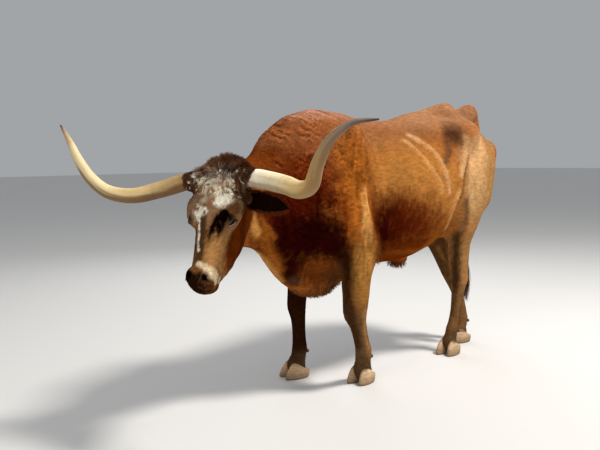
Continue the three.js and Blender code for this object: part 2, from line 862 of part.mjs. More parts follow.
/** Directions at an eye: along the slit, across it and outwards. */
const eyeAxes = (side) => {
  const { facing } = eyeSite(side);
  const slit = [0.81, -side * 0.5, 0.3];
  const along = unit(add(slit, facing, -dot(slit, facing)));
  return [along, cross(facing, along), facing];
};

const makeEye = (side) => ballAt(eyeSite(side).middle, EYE_RADIUS, [1, 1, 1], eyeAxes(side));

/** A lid: a short bent roll over the upper or lower edge of the slit. */
const makeLid = (side, upper) => {
  const { middle } = eyeSite(side);
  const [along, across, facing] = eyeAxes(side);
  const path = [-1, -0.55, 0, 0.55, 1].map((t) => {
    const lift = (upper ? 15 : -12) * (1 - t * t);
    const out = Math.sqrt(Math.max((EYE_RADIUS + 4) ** 2 - (22 * t) ** 2 - lift ** 2, 4));
    return fromHead(add(add(add(middle, along, 22 * t), across, lift * side), facing, out));
  });
  return taperedTube(path, (t) => 2.5 + 3.5 * Math.sin(Math.PI * t), 6, 5);
};

// Nostrils and the line of the mouth

const makeNostril = (side) => {
  const axes = [unit([0.8, side * 0.45, -0.2]), unit([-0.45, side * 0.8, 0.1]), [0, 0, 1]];
  axes[2] = unit(cross(axes[0], axes[1]));
  axes[1] = cross(axes[2], axes[0]);
  return ballAt([496, 7 + side * 43, -8], 18, [1.05, 0.55, 1.3], axes, [9, 6]);
};

const MOUTH = { corner: [440, -104], front: [560, -74], halfWidth: 92, height: 4.5 };

/** A thin plate across the muzzle, rounded at the front, that parts the lips. */
const makeMouthCut = () => {
  const run = Math.hypot(MOUTH.front[0] - MOUTH.corner[0], MOUTH.front[1] - MOUTH.corner[1]);
  const shape = new THREE.Shape();
  shape.moveTo(0, -MOUTH.halfWidth);
  shape.lineTo(run, -MOUTH.halfWidth);
  shape.lineTo(run + 40, 0);
  shape.lineTo(run, MOUTH.halfWidth);
  shape.lineTo(0, MOUTH.halfWidth);
  shape.lineTo(24, 0);
  const plate = new THREE.ExtrudeGeometry(shape, { depth: MOUTH.height, bevelEnabled: false });
  const ahead = unit([MOUTH.front[0] - MOUTH.corner[0], 0, MOUTH.front[1] - MOUTH.corner[1]]);
  const matrix = new THREE.Matrix4().makeBasis(
    new THREE.Vector3(...ahead),
    new THREE.Vector3(0, 1, 0),
    new THREE.Vector3(...cross(ahead, [0, 1, 0])),
  );
  matrix.setPosition(MOUTH.corner[0], 0, MOUTH.corner[1]);
  return solidFrom(plate, headTurn.clone().multiply(matrix));
};

// The tuft between the horns: rows of locks that rise from the poll and fall over the forehead

const TUFT_CENTRE = [52, 0, -84];
const TUFT_ROWS = [
  { angle: -140, count: 4, reach: 74, size: 66, lean: -0.7 },
  { angle: -104, count: 5, reach: 92, size: 62, lean: 0.9 },
  { angle: -72, count: 6, reach: 112, size: 66, lean: 1.2 },
  { angle: -40, count: 6, reach: 112, size: 70, lean: 1.4 },
  { angle: -2, count: 5, reach: 86, size: 72, lean: 1.6 },
];

/** Rows of locks over the mound of the poll, each row at its own angle from the forehead round to the nape. */
const makeTuft = () => {
  const random = randomFrom(11);
  const locks = [];
  for (const { angle, count, reach, size, lean } of TUFT_ROWS) {
    const out = [Math.sin(radians(angle)), 0, Math.cos(radians(angle))];
    const onward = [out[2], 0, -out[0]];
    for (let i = 0; i < count; i += 1) {
      const t = (2 * (i + 0.5)) / count - 1;
      const from = add(TUFT_CENTRE, [0, 1, 0], t * reach + (random() - 0.5) * 8);
      let depth = 0;
      while (fleshFromHead(...add(from, out, depth)) < 0) {
        depth += 1;
      }
      const sideways = t * 0.5 + (random() - 0.5) * 0.35;
      locks.push(lock({
        root: fromHead(add(from, out, depth - 9)),
        direction: turned(add(add(out, onward, lean), [0, 1, 0], sideways)),
        across: turned(add([0, 1, 0], onward, -0.4 * t)),
        fall: turned(add(onward.map((value) => value * lean * 0.6), out, -0.7)),
        size: size * (0.85 + 0.3 * random()),
        width: 50,
        thickness: 14,
        pieces: 2,
      }));
    }
  }
  return locks;
};

/** A direction in the head's frame, turned into the animal's. */
function turned(direction) {
  return direction.reduce((sum, value, i) => add(sum, headAxes[i], value), [0, 0, 0]);
}

const makeHead = () => {
  const raw = solidFrom(surfaceOf(fleshFromHead, [-70, -190, -330], [660, 190, 90], CELL.head), headTurn);
  let solid = raw.intersect(beyond(HEAD_CUT.point, HEAD_CUT.direction));
  for (const piece of makeTuft()) {
    solid = solid.add(piece);
  }
  for (const side of [1, -1]) {
    const { middle, facing } = eyeSite(side);
    const axes = eyeAxes(side);
    solid = solid.add(makeLid(side, true)).add(makeLid(side, false));
    solid = solid.subtract(ballAt(add(middle, facing, 20), 12, [1.8, 0.9, 1.5], axes, [12, 7]));
    solid = solid.subtract(ballAt(middle, EYE_RADIUS + GAP, [1, 1, 1], axes));
    solid = solid.subtract(makeNostril(side));
  }
  return largest(solid.subtract(makeMouthCut()));
};

// Ears: cupped leaves, round at the root and open to the front

const EAR = {
  left: { root: [84, 98, -116], along: [0.2, 0.93, -0.3], opens: [0.5, 0.1, 0.85] },
  right: { root: [92, -92, -118], along: [0.22, -0.58, -0.78], opens: [0.7, -0.72, 0.3] },
};

const makeEar = ({ root, along, opens }) => {
  const axis = unit(along);
  const open = unit(add(opens, axis, -dot(opens, axis)));
  const across = cross(axis, open);
  const [rows, columns] = [8, 6];
  const layers = [0, 1].map((layer) => {
    const grid = [];
    for (let i = 0; i <= rows; i += 1) {
      const s = i / rows;
      const half = EAR_HALF_WIDTH * Math.sin(Math.PI * (0.16 + 0.76 * s ** 0.9)) ** 0.8;
      const wrap = radians(mix(128, 46, Math.min(s * 1.5, 1)));
      const radius = half / Math.sin(Math.min(wrap, Math.PI / 2));
      for (let j = 0; j <= columns; j += 1) {
        const angle = wrap * ((2 * j) / columns - 1);
        const r = radius - (layer ? EAR_THICKNESS : 0);
        const droop = -26 * s * s;
        const point = add(add(root, axis, EAR_LENGTH * s), open, droop + radius * 0.6 - Math.max(r, 1) * Math.cos(angle));
        grid.push(fromHead(add(point, across, Math.max(r, 1) * Math.sin(angle))));
      }
    }
    return grid;
  });
  const corners = layers.flat();
  const other = layers[0].length;
  const width = columns + 1;
  const faces = [];
  const square = (p, q, r, s) => faces.push(p, q, r, p, r, s);
  for (let i = 0; i < rows; i += 1) {
    for (let j = 0; j < columns; j += 1) {
      const [p, q, r, s] = [i * width + j, i * width + j + 1, (i + 1) * width + j + 1, (i + 1) * width + j];
      faces.push(p, q, r, p, r, s);
      faces.push(other + p, other + r, other + q, other + p, other + s, other + r);
    }
    const [left, right] = [i * width, i * width + columns];
    square(left, left + width, other + left + width, other + left);
    square(right + width, right, other + right, other + right + width);
  }
  for (let j = 0; j < columns; j += 1) {
    const end = rows * width + j;
    square(j + 1, j, other + j, other + j + 1);
    square(end, end + 1, other + end + 1, other + end);
  }
  const solid = solidFrom(geometryFrom(corners, faces));
  return solid.volume() < 0 ? solidFrom(geometryFrom(corners, faces.reverse())) : solid;
};

// Tail with its switch of long locks

const SWITCH_TOP = 600;
const SWITCH_TIERS = [
  { drop: 52, count: 4, size: 230, spread: 0.16 },
  { drop: 10, count: 5, size: 290, spread: 0.09 },
];

const tailCore = () => solidFrom(surfaceOf(tailForm, [-70, 1120, 540], [100, 1460, 1600], CELL.tail));

const makeTail = () => tailCore().intersect(beyond([0, 0, SWITCH_TOP], [0, 0, 1], GAP));

/** The long end hair: tiers of locks round the last of the tail. */
const makeSwitch = () => {
  const end = TAIL_ROWS[TAIL_ROWS.length - 1];
  const random = randomFrom(29);
  let solid = tailCore();
  for (const { drop, count, size, spread } of SWITCH_TIERS) {
    for (let i = 0; i < count; i += 1) {
      const angle = (2 * Math.PI * (i + 0.4 * random())) / count;
      const out = [Math.cos(angle), Math.sin(angle), 0];
      solid = solid.add(lock({
        root: [end[0] + out[0] * 3, end[1] + out[1] * 3, end[2] + drop],
        direction: [out[0] * spread * 2.2, out[1] * spread * 2.2, -1],
        across: [-out[1], out[0], 0],
        fall: [-out[0] * spread * 0.9, -out[1] * spread * 0.9, -0.4],
        size: size * (0.9 + 0.2 * random()),
        width: 34,
        thickness: 11,
      }));
    }
  }
  return solid.intersect(beyond([0, 0, SWITCH_TOP], [0, 0, -1]));
};

// Assembly

const COLOURS = {
  coat: 0x9a4a1e,
  face: 0xb89a7c,
  ear: 0x6d3a1e,
  horn: 0xd8caa4,
  hoof: 0x6b5d50,
  eye: 0x140c08,
  tail: 0x6f361a,
};

const materials = Object.fromEntries(Object.entries(COLOURS).map(([name, color]) => [
  name,
  new THREE.MeshStandardMaterial({ name, color, roughness: name === 'eye' ? 0.08 : name === 'horn' ? 0.45 : 0.85, metalness: 0 }),
]));

const animal = new THREE.Group();
const put = (name, material, solid) => {
  const mesh = new THREE.Mesh(geometryOf(solid), materials[material]);
  mesh.name = name;
  animal.add(mesh);
};

const torso = makeTorso();
const neck = makeNeck();
const head = makeHead();
const headClear = grown(head, GAP);

put('torso', 'coat', torso);
put('neck', 'coat', neck);
put('head', 'face', head);
for (const [word, side] of [['left', 1], ['right', -1]]) {
  put(`eye_${word}`, 'eye', makeEye(side));
  put(`horn_${word}`, 'horn', largest(makeHorn(HORN[word]).subtract(headClear)));
  put(`ear_${word}`, 'ear', largest(makeEar(EAR[word]).subtract(headClear)));
  const fore = FORELEG[word];
  const hind = HINDLEG[word];
  put(`foreleg_${word}`, 'coat', makeLeg(fore, forelegSpace(side), CELL.foreleg, FORELEG_TOP));
  put(`hindleg_${word}`, 'coat', makeLeg(hind, hindlegBlock(side), CELL.hindleg, HINDLEG_TOP));
  put(`hoof_front_${word}`, 'hoof', makeHoof(fore, side * 12));
  put(`hoof_hind_${word}`, 'hoof', makeHoof(hind, side * 10));
}
put('tail', 'tail', largest(makeTail().subtract(grown(torso, GAP))));
put('tail_switch', 'tail', largest(makeSwitch()));

// The floor lies at the soles, and the origin below the middle of the whole animal

const bounds = new THREE.Box3().setFromObject(animal);
const middle = bounds.getCenter(new THREE.Vector3());
animal.position.set(-middle.x, -middle.y, -bounds.min.z);

export default animal;
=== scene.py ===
"""A thin Texas longhorn steer, life size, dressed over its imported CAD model.

Lengths in the tables are millimetres in the animal's own frame: the head towards -Y, its left
towards +X, the floor at zero. The head has a frame of its own, with a down the face from the
poll, b to the animal's left and c out of the forehead.
"""

import logging
from dataclasses import dataclass
from enum import Enum
from typing import Callable, Sequence

import bmesh
import bpy
import numpy as np
from mathutils import Matrix, Vector


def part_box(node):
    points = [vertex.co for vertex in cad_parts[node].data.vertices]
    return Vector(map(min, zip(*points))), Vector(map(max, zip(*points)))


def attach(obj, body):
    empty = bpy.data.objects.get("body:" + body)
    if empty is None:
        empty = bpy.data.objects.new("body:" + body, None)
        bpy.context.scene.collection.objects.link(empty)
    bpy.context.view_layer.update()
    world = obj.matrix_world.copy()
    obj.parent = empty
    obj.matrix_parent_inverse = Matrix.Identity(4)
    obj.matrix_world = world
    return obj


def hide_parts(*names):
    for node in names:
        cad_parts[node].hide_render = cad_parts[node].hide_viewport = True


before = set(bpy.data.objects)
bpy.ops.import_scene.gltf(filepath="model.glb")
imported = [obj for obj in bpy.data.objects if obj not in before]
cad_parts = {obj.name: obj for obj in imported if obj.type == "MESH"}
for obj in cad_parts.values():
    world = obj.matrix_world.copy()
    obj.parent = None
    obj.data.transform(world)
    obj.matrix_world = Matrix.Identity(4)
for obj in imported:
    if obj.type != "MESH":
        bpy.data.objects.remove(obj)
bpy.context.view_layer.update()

logging.basicConfig(level=logging.INFO, format="%(relativeCreated)d ms: %(message)s")
log = logging.getLogger("longhorn")

Array = np.ndarray
Rows = Sequence[Sequence[float]]

MM = 0.001
TINY = 1e-6

# The distance where no form is near, and the reach round a limb's stretch inside which it is asked
FAR = 2.0
NEARBY = 0.07

# Numbers that turn a lattice corner's place and a seed into a hash
HASH_X, HASH_Y, HASH_Z = 73856093, 19349663, 83492791
HASH_SEED, HASH_MIX = 2654435761, 1274126177
SEED_SHIFT = 37.13
LAYER_SHARE = 0.55


# Small vector helpers


def unit(vectors: Array) -> Array:
    """Vectors brought to length one along the last axis."""
    vectors = np.asarray(vectors, float)
    size = np.sqrt((vectors * vectors).sum(-1, keepdims=True))
    return vectors / np.maximum(size, 1e-12)


def dot(p: Array, q: Array) -> Array:
    """Dot product along the last axis."""
    return (p * q).sum(-1)


def smoothstep(low: float, high: float, values: Array) -> Array:
    """A soft step from 0 at low to 1 at high: t squared times 3 less 2t."""
    t = np.clip((values - low) / (high - low), 0.0, 1.0)
    return t * t * (3.0 - 2.0 * t)


def linear(shade: Sequence[float]) -> Array:
    """Linear light of a screen colour given from 0 to 255."""
    share = np.array(shade) / 255.0
    return np.where(share <= 0.04045, share / 12.92, ((share + 0.055) / 1.055) ** 2.4)


def cube_corner(number: int) -> Array:
    """A cube's corner by its number from 0 to 7, as steps of 0 or 1 along the three axes."""
    return np.array([number & 1, (number >> 1) & 1, number >> 2])


def noise(points: Array, size: float, seed: int = 0) -> Array:
    """Smooth random values from -1 to 1 over space.

    Each lattice corner gets a hashed value, and the eight corners round a point are mixed with
    weights of t squared times 3 less 2t along each axis.

    Args:
        points: places, in metres.
        size: the lattice's pitch, in metres.
        seed: which random field it is.

    Returns:
        One value for each point.
    """
    scaled = points / size + SEED_SHIFT * (seed + 1)
    base = np.floor(scaled).astype(np.int64)
    t = scaled - base
    t = t * t * (3.0 - 2.0 * t)
    total = np.zeros(len(points))
    for corner in range(8):
        step = cube_corner(corner)
        cell = base + step
        mixed = cell[:, 0] * HASH_X ^ cell[:, 1] * HASH_Y ^ cell[:, 2] * HASH_Z ^ (seed * HASH_SEED)
        mixed = (mixed ^ (mixed >> 13)) * HASH_MIX & 0xFFFFFFFF
        mixed = (mixed ^ (mixed >> 16)) & 0xFFFF
        weight = np.where(step, t, 1.0 - t).prod(1)
        total += weight * (mixed / 32767.5 - 1.0)
    return total


def cloud(points: Array, size: float, seed: int = 0, layers: int = 3) -> Array:
    """Noise in several layers, each half the size and a little over half the strength of the last."""
    total = np.zeros(len(points))
    strength = 1.0
    weight = 0.0
    for layer in range(layers):
        total += strength * noise(points, size / 2**layer, seed + 17 * layer)
        weight += strength
        strength *= LAYER_SHARE
    return total / weight


# Forms: solid shapes known by their distance, negative inside


def join(a: Array, b: Array, width: float) -> Array:
    """The smaller of two distances, with the join rounded over a width."""
    h = np.maximum(width - np.abs(a - b), 0.0) / width
    return np.minimum(a, b) - h * h * width / 4.0


def ellipsoid_distance(local: Array, sizes: Array) -> Array:
    """Distance to an ellipsoid: k0 times k0 less 1, over k1.

    k0 is the length of the place over the half sizes, and k1 of the place over their squares.

    Args:
        local: places along the ellipsoid's own axes.
        sizes: half sizes, one row or one for each place.

    Returns:
        A distance that is exact on the surface.
    """
    ratio = local / sizes
    k0 = np.sqrt((ratio * ratio).sum(-1))
    ratio = ratio / sizes
    k1 = np.sqrt((ratio * ratio).sum(-1))
    return np.where(k1 < TINY, -np.min(sizes, axis=-1), k0 * (k0 - 1.0) / np.maximum(k1, TINY))


def turned(degrees: Sequence[float]) -> Array:
    """A rotation about X, then Y, then Z, as a matrix."""
    x, y, z = np.radians(degrees)
    about_x = np.array([[1, 0, 0], [0, np.cos(x), -np.sin(x)], [0, np.sin(x), np.cos(x)]])
    about_y = np.array([[np.cos(y), 0, np.sin(y)], [0, 1, 0], [-np.sin(y), 0, np.cos(y)]])
    about_z = np.array([[np.cos(z), -np.sin(z), 0], [np.sin(z), np.cos(z), 0], [0, 0, 1]])
    return about_z @ about_y @ about_x


class Form:
    """A solid with a box round it, outside which nobody asks for its distance."""

    low: Array
    high: Array

    def distance(self, points: Array) -> Array:
        """Distance from each point to the surface, negative inside."""
        raise NotImplementedError

    def near(self, points: Array, margin: float) -> Array:
        """Which points lie in the box grown by a margin."""
        return ((points > self.low - margin) & (points < self.high + margin)).all(1)


class Blob(Form):
    """An ellipsoid at a place, with half sizes along its own turned axes."""

    def __init__(self, place: Sequence[float], sizes: Sequence[float],
                 turn: Sequence[float] = (0, 0, 0)) -> None:
        """Place and half sizes are in millimetres, turns about X, Y and Z in degrees."""
        self.place = np.array(place, float) * MM
        self.sizes = np.array(sizes, float) * MM
        self.turn = turned(turn)
        reach = np.sqrt(((self.turn * self.sizes) ** 2).sum(1))
        self.low = self.place - reach
        self.high = self.place + reach

    def distance(self, points: Array) -> Array:
        """Distance to the ellipsoid."""
        return ellipsoid_distance((points - self.place) @ self.turn, self.sizes)


def smoothed(rows: Rows, steps: int) -> Array:
    """A Catmull-Rom curve through rows of numbers, with its steps between each two."""
    rows = np.array(rows, float)
    last = len(rows) - 1
    out = []
    for i in range(last):
        p0, p1, p2, p3 = rows[max(i - 1, 0)], rows[i], rows[i + 1], rows[min(i + 2, last)]
        for k in range(steps):
            t = k / steps
            out.append(0.5 * (2 * p1 + (p2 - p0) * t + (2 * p0 - 5 * p1 + 4 * p2 - p3) * t * t
                              + (3 * p1 - p0 - 3 * p2 + p3) * t**3))
    out.append(rows[last])
    return np.array(out)


class Limb(Form):
    """A bent, tapering limb with an oval section.

    Rows give x, y, z, half width and half depth in millimetres, and the width lies along one
    direction. Each stretch is a line whose nearest point carries an ellipsoid.
    """

    def __init__(self, rows: Rows, across: Sequence[float] = (1, 0, 0), steps: int = 2) -> None:
        """Works out the stretches once."""
        stations = smoothed(rows, steps) * MM
        self.start = stations[:-1]
        self.end = stations[1:]
        along = self.end[:, :3] - self.start[:, :3]
        self.size = np.sqrt((along**2).sum(1))
        self.axis = unit(along)
        across = np.array(across, float)
        self.side = unit(across - self.axis * (self.axis @ across)[:, None])
        self.front = np.cross(self.axis, self.side)
        reach = np.maximum(self.start[:, 3:5], self.end[:, 3:5]).max(1, keepdims=True)
        self.lows = np.minimum(self.start[:, :3], self.end[:, :3]) - reach
        self.highs = np.maximum(self.start[:, :3], self.end[:, :3]) + reach
        self.low = self.lows.min(0)
        self.high = self.highs.max(0)

    def distance(self, points: Array) -> Array:
        """The least of the distances to the stretches, each asked only about the points near it."""
        nearest = np.full(len(points), np.inf)
        for i, size in enumerate(self.size):
            near = ((points > self.lows[i] - NEARBY) & (points < self.highs[i] + NEARBY)).all(1)
            chosen = np.flatnonzero(near)
            if not len(chosen):
                continue
            start, end, axis = self.start[i], self.end[i], self.axis[i]
            p = points[chosen] - start[:3]
            t = np.clip(p @ axis / size, 0.0, 1.0)
            q = p - t[:, None] * (axis * size)
            radii = start[3:5] + t[:, None] * (end[3:5] - start[3:5])
            local = q @ np.array([self.side[i], self.front[i], axis]).T
            sizes = np.column_stack([radii, radii.mean(1)])
            nearest[chosen] = np.minimum(nearest[chosen], ellipsoid_distance(local, sizes))
        return nearest


class Blend(Form):
    """Several forms in one, each join rounded over its own width in millimetres."""

    MARGIN = 0.06

    def __init__(self, pieces: Sequence[tuple]) -> None:
        """Each piece is a pair of a form and the width of its join."""
        self.pieces = list(pieces)
        self.low = np.min([form.low for form, _ in self.pieces], axis=0)
        self.high = np.max([form.high for form, _ in self.pieces], axis=0)

    def distance(self, points: Array) -> Array:
        """The forms joined in order, each asked only about the points near it."""
        total = np.full(len(points), FAR)
        for form, width in self.pieces:
            near = form.near(points, width * MM + self.MARGIN)
            if near.any():
                total[near] = join(total[near], form.distance(points[near]), width * MM)
        return total


class Placed(Form):
    """A form given in the head's frame, asked in the animal's."""

    def __init__(self, form: Form, head: "HeadFrame") -> None:
        """Keeps the form and a box round its turned box."""
        self.form = form
        self.head = head
        corners = np.array([[x, y, z] for x in (form.low[0], form.high[0])
                            for y in (form.low[1], form.high[1]) for z in (form.low[2], form.high[2])])
        moved = head.out_of(corners)
        self.low = moved.min(0)
        self.high = moved.max(0)

    def distance(self, points: Array) -> Array:
        """The form's distance at the same places in the head's frame."""
        return self.form.distance(self.head.into(points))


@dataclass(frozen=True)
class HeadFrame:
    """Where the head sits and how it is turned."""

    poll: tuple = (206, -840, 1200)
    facing: float = 25.0
    tilt: float = 64.0
    roll: float = -1.2

    @property
    def axes(self) -> Array:
        """Rows: down the face, to the left, out of the forehead."""
        facing, tilt, roll = np.radians([self.facing, self.tilt, self.roll])
        ahead = np.array([np.sin(facing), -np.cos(facing), 0.0])
        left = np.array([np.cos(facing), np.sin(facing), 0.0])
        down = ahead * np.cos(tilt) - np.array([0, 0, np.sin(tilt)])
        out = ahead * np.sin(tilt) + np.array([0, 0, np.cos(tilt)])
        side = left * np.cos(roll) + out * np.sin(roll)
        return np.array([down, side, unit(np.cross(down, side))])

    def into(self, points: Array) -> Array:
        """Places in the head's frame, metres."""
        return (points - np.array(self.poll) * MM) @ self.axes.T

    def out_of(self, points: Array) -> Array:
        """Places in the animal's frame, metres."""
        return np.asarray(points) @ self.axes + np.array(self.poll) * MM

    def turn(self, directions: Array) -> Array:
        """Directions of the head's frame in the animal's."""
        return np.asarray(directions, float) @ self.axes


HEAD = HeadFrame()
SIDES = {"left": 1, "right": -1}


def on_head(points: Array, behind: float = -0.03, front: float = -0.70) -> Array:
    """Which places belong to the head: down the face from a line near the poll, and before the neck."""
    return (HEAD.into(points)[:, 0] > behind) & (points[:, 1] < front)


# Rows of the legs and the tail, from the top down: x, y, z, half width and half depth

FORELEG = {
    "left": [
        [205, 70, 830, 80, 150], [208, 44, 730, 70, 124], [208, 20, 620, 68, 98], [208, 16, 520, 64, 84],
        [206, 12, 450, 63, 75], [204, 13, 410, 61, 67], [197, 40, 350, 46, 51], [180, 78, 270, 40, 46],
        [160, 116, 200, 43, 49], [148, 132, 160, 46, 50], [138, 136, 112, 43, 48], [130, 140, 72, 50, 58],
        [126, 148, 50, 48, 56],
    ],
    "right": [
        [-205, 40, 830, 80, 150], [-206, 16, 720, 70, 126], [-198, -16, 610, 60, 92],
        [-192, -42, 510, 52, 68], [-188, -56, 440, 52, 60], [-187, -58, 400, 52, 57],
        [-188, -48, 340, 41, 47], [-190, -42, 265, 36, 43], [-192, -38, 195, 38, 45],
        [-193, -36, 155, 44, 48], [-194, -48, 110, 41, 46], [-195, -62, 72, 50, 57],
        [-195, -56, 50, 48, 55],
    ],
}
HINDLEG = {
    "left": [
        [140, 1150, 1170, 88, 152], [158, 1088, 1040, 86, 154], [166, 1028, 900, 78, 142],
        [164, 984, 785, 66, 120], [152, 988, 670, 54, 80], [134, 1010, 570, 48, 72],
        [122, 1026, 495, 45, 65], [118, 1030, 440, 45, 60], [116, 1020, 375, 36, 48],
        [112, 1002, 270, 29, 36], [108, 988, 190, 32, 39], [106, 978, 150, 38, 44],
        [104, 966, 108, 37, 43], [103, 954, 72, 47, 53], [103, 958, 50, 45, 51],
    ],
    "right": [
        [-140, 1165, 1170, 88, 152], [-156, 1134, 1040, 86, 152], [-160, 1100, 900, 78, 140],
        [-150, 1080, 785, 66, 112], [-130, 1128, 665, 50, 76], [-130, 1180, 565, 42, 58],
        [-118, 1220, 488, 44, 58], [-106, 1250, 428, 45, 56], [-84, 1272, 345, 36, 45],
        [-58, 1285, 250, 32, 40], [-46, 1286, 178, 35, 43], [-40, 1280, 145, 41, 47],
        [-36, 1260, 108, 37, 43], [-34, 1248, 72, 47, 53], [-34, 1252, 50, 45, 51],
    ],
}
TAIL = [
    [0, 1270, 1520, 30, 36], [0, 1328, 1496, 29, 34], [0, 1362, 1424, 26, 27], [0, 1386, 1320, 22, 23],
    [3, 1372, 1180, 18, 20], [8, 1328, 1020, 16, 17], [14, 1272, 860, 14, 15], [20, 1218, 720, 13, 14],
    [22, 1190, 620, 12, 13],
]


class Hollow(Form):
    """An ellipsoid on three given directions, for cutting away."""

    def __init__(self, place: Array, sizes: Sequence[float], axes: Array) -> None:
        """The place is in metres, the half sizes in millimetres, the axes are rows."""
        self.place = place
        self.sizes = np.array(sizes, float) * MM
        self.axes = axes
        self.low = place - self.sizes.max()
        self.high = place + self.sizes.max()

    def distance(self, points: Array) -> Array:
        """Distance to the ellipsoid."""
        return ellipsoid_distance((points - self.place) @ self.axes.T, self.sizes)


EYE_RADIUS = 20.0
EYE_COVER = 2.0


@dataclass(frozen=True)
class EyeSite:
    """An eyeball's middle and its directions: along the slit, across it and outwards."""

    middle: Array
    axes: Array

    @property
    def facing(self) -> Array:
        """The direction that the eye looks in."""
        return self.axes[2]

    @classmethod
    def found(cls, body: "Body", side: int) -> "EyeSite":
        """Marches out of the head along the line of sight and sets the ball under the surface.

        Args:
            body: the flesh.
            side: 1 for the left eye, -1 for the right.

        Returns:
            The site in the animal's frame.
        """
        facing = unit(np.array([0.1, side * 0.76, 0.64]))
        steps = np.arange(0, 120, 0.5)
        line = (np.array([238, side * 60, -74]) + steps[:, None] * facing) * MM
        first = np.argmax(body.flesh.distance(HEAD.out_of(line)) >= 0)
        middle = line[first] - (EYE_RADIUS + EYE_COVER) * MM * facing
        slit = np.array([0.81, -side * 0.5, 0.3])
        along = unit(slit - facing * (slit @ facing))
        axes = HEAD.turn(np.array([along, -side * np.cross(facing, along), facing]))
        return cls(HEAD.out_of(middle[None])[0], axes)


class Body:
    """The animal's flesh as one form, and its details in the places of bones and folds."""

    LEAST_SLOPE = 0.2

    def __init__(self) -> None:
        """Puts the forms of trunk, neck, legs, tail and head together."""
        self.flesh = Blend(self.trunk() + self.neck() + self.legs() + [
            (Blob([0, 1322, 1415], [16, 52, 84]), 30), (Limb(TAIL), 26), (Placed(self.head(), HEAD), 60)])
        self.hollows = []
        self.eyes = {word: EyeSite.found(self, side) for word, side in SIDES.items()}
        for site in self.eyes.values():
            place = site.middle + EYE_RADIUS * MM * site.facing
            self.hollows.append((Hollow(place, (24, 17, 16), site.axes), 5))
        for side in SIDES.values():
            down = unit(np.array([0.8, side * 0.45, -0.2]))
            inward = unit(np.array([-0.45, side * 0.8, 0.1]))
            up = unit(np.cross(down, inward))
            axes = HEAD.turn(np.array([down, np.cross(up, down), up]))
            place = HEAD.out_of(np.array([[498, 7 + side * 43, -8]]) * MM)[0]
            self.hollows.append((Hollow(place, (20, 9.5, 22), axes), 6))

    @staticmethod
    def trunk() -> list:
        """Rib cage, backbone, hump, shoulders, pelvis and hollow flanks."""
        pieces = [
            (Limb([
                [0, -250, 905, 130, 250], [0, -80, 940, 205, 340], [0, 120, 985, 248, 375],
                [0, 330, 1015, 282, 392], [0, 540, 1030, 300, 402], [0, 720, 1075, 288, 385],
                [0, 880, 1130, 240, 345], [0, 1040, 1195, 190, 300], [0, 1150, 1245, 148, 248],
                [0, 1226, 1285, 88, 190]]), 1),
            (Limb([
                [0, 120, 1395, 60, 52], [0, 330, 1396, 52, 40], [0, 500, 1402, 46, 38],
                [0, 640, 1445, 40, 38],
                [0, 820, 1482, 38, 38], [0, 960, 1520, 40, 38], [0, 1050, 1532, 34, 36],
                [0, 1120, 1500, 34, 36], [0, 1200, 1502, 34, 38], [0, 1290, 1520, 32, 38]]), 60),
            (Limb([
                [20, -330, 1265, 70, 112], [8, -210, 1325, 92, 128], [0, -90, 1362, 104, 124],
                [0, 20, 1366, 98, 112], [0, 130, 1346, 82, 88], [0, 250, 1328, 64, 74]]), 110),
        ]
        sides = (
            # Shoulder blade, point of the shoulder and upper arm
            lambda s: (Blend([
                (Blob([s * 150, -20, 1130], [88, 150, 300], [-14, s * 6, 0]), 1),
                (Blob([s * 185, -130, 905], [72, 105, 130]), 120),
                (Blob([s * 196, 40, 850], [76, 150, 150], [-20, 0, 0]), 110)]), 90),
            # Loin
            lambda s: (Limb([
                [s * 120, 620, 1370, 70, 46], [s * 130, 780, 1400, 70, 44],
                [s * 150, 900, 1405, 64, 42]]), 80),
            # From the top of the rump to the hook, and the hook
            lambda s: (Limb([
                [s * 60, 1030, 1480, 44, 46], [s * 150, 990, 1425, 48, 44],
                [s * 215, 955, 1372, 44, 42]]), 60),
            lambda s: (Blob([s * 216, 945, 1358], [52, 86, 62], [14, s * 20, s * -14]), 90),
            # From the hook to the pin, and the pin
            lambda s: (Limb([
                [s * 205, 985, 1345, 42, 52], [s * 162, 1140, 1315, 46, 70],
                [s * 114, 1290, 1268, 40, 50]]), 80),
            lambda s: (Blob([s * 110, 1326, 1262], [44, 52, 56]), 60),
            # Back of the thigh
            lambda s: (Limb([
                [s * 116, 1306, 1240, 48, 54], [s * 128, 1262, 1120, 60, 72],
                [s * 144, 1196, 980, 60, 84]]), 80),
            # Fold from the hook to the stifle
            lambda s: (Limb([
                [s * 226, 935, 1330, 26, 34], [s * 236, 905, 1150, 24, 32], [s * 226, 895, 960, 26, 34],
                [s * 200, 930, 800, 26, 40]]), 70),
        )
        pieces += [made(s) for made in sides for s in SIDES.values()]
        pieces.append((Blob([0, 1270, 1496], [44, 62, 50]), 60))
        pieces.append((Blob([0, 590, 625], [38, 70, 30], [-8, 0, 0]), 40))
        return pieces

    @staticmethod
    def neck() -> list:
        """The neck's core, the crest above it and the loose dewlap under it."""
        return [
            (Limb([
                [0, -60, 1120, 150, 300], [6, -210, 1080, 142, 300], [28, -350, 1050, 122, 262],
                [68, -480, 1040, 104, 222], [112, -600, 1040, 94, 186], [150, -700, 1040, 86, 152]]), 130),
            (Limb([
                [8, -230, 1300, 70, 110], [34, -390, 1200, 58, 104], [78, -530, 1132, 50, 90],
                [118, -640, 1108, 52, 82], [156, -728, 1112, 58, 74]]), 90),
            (Limb([
                [128, -650, 866, 34, 40], [92, -560, 850, 32, 42], [52, -455, 802, 34, 56],
                [22, -360, 728, 42, 78], [6, -265, 652, 60, 84], [0, -150, 596, 82, 92],
                [0, -40, 590, 88, 92], [0, 80, 650, 90, 66]]), 90),
        ]

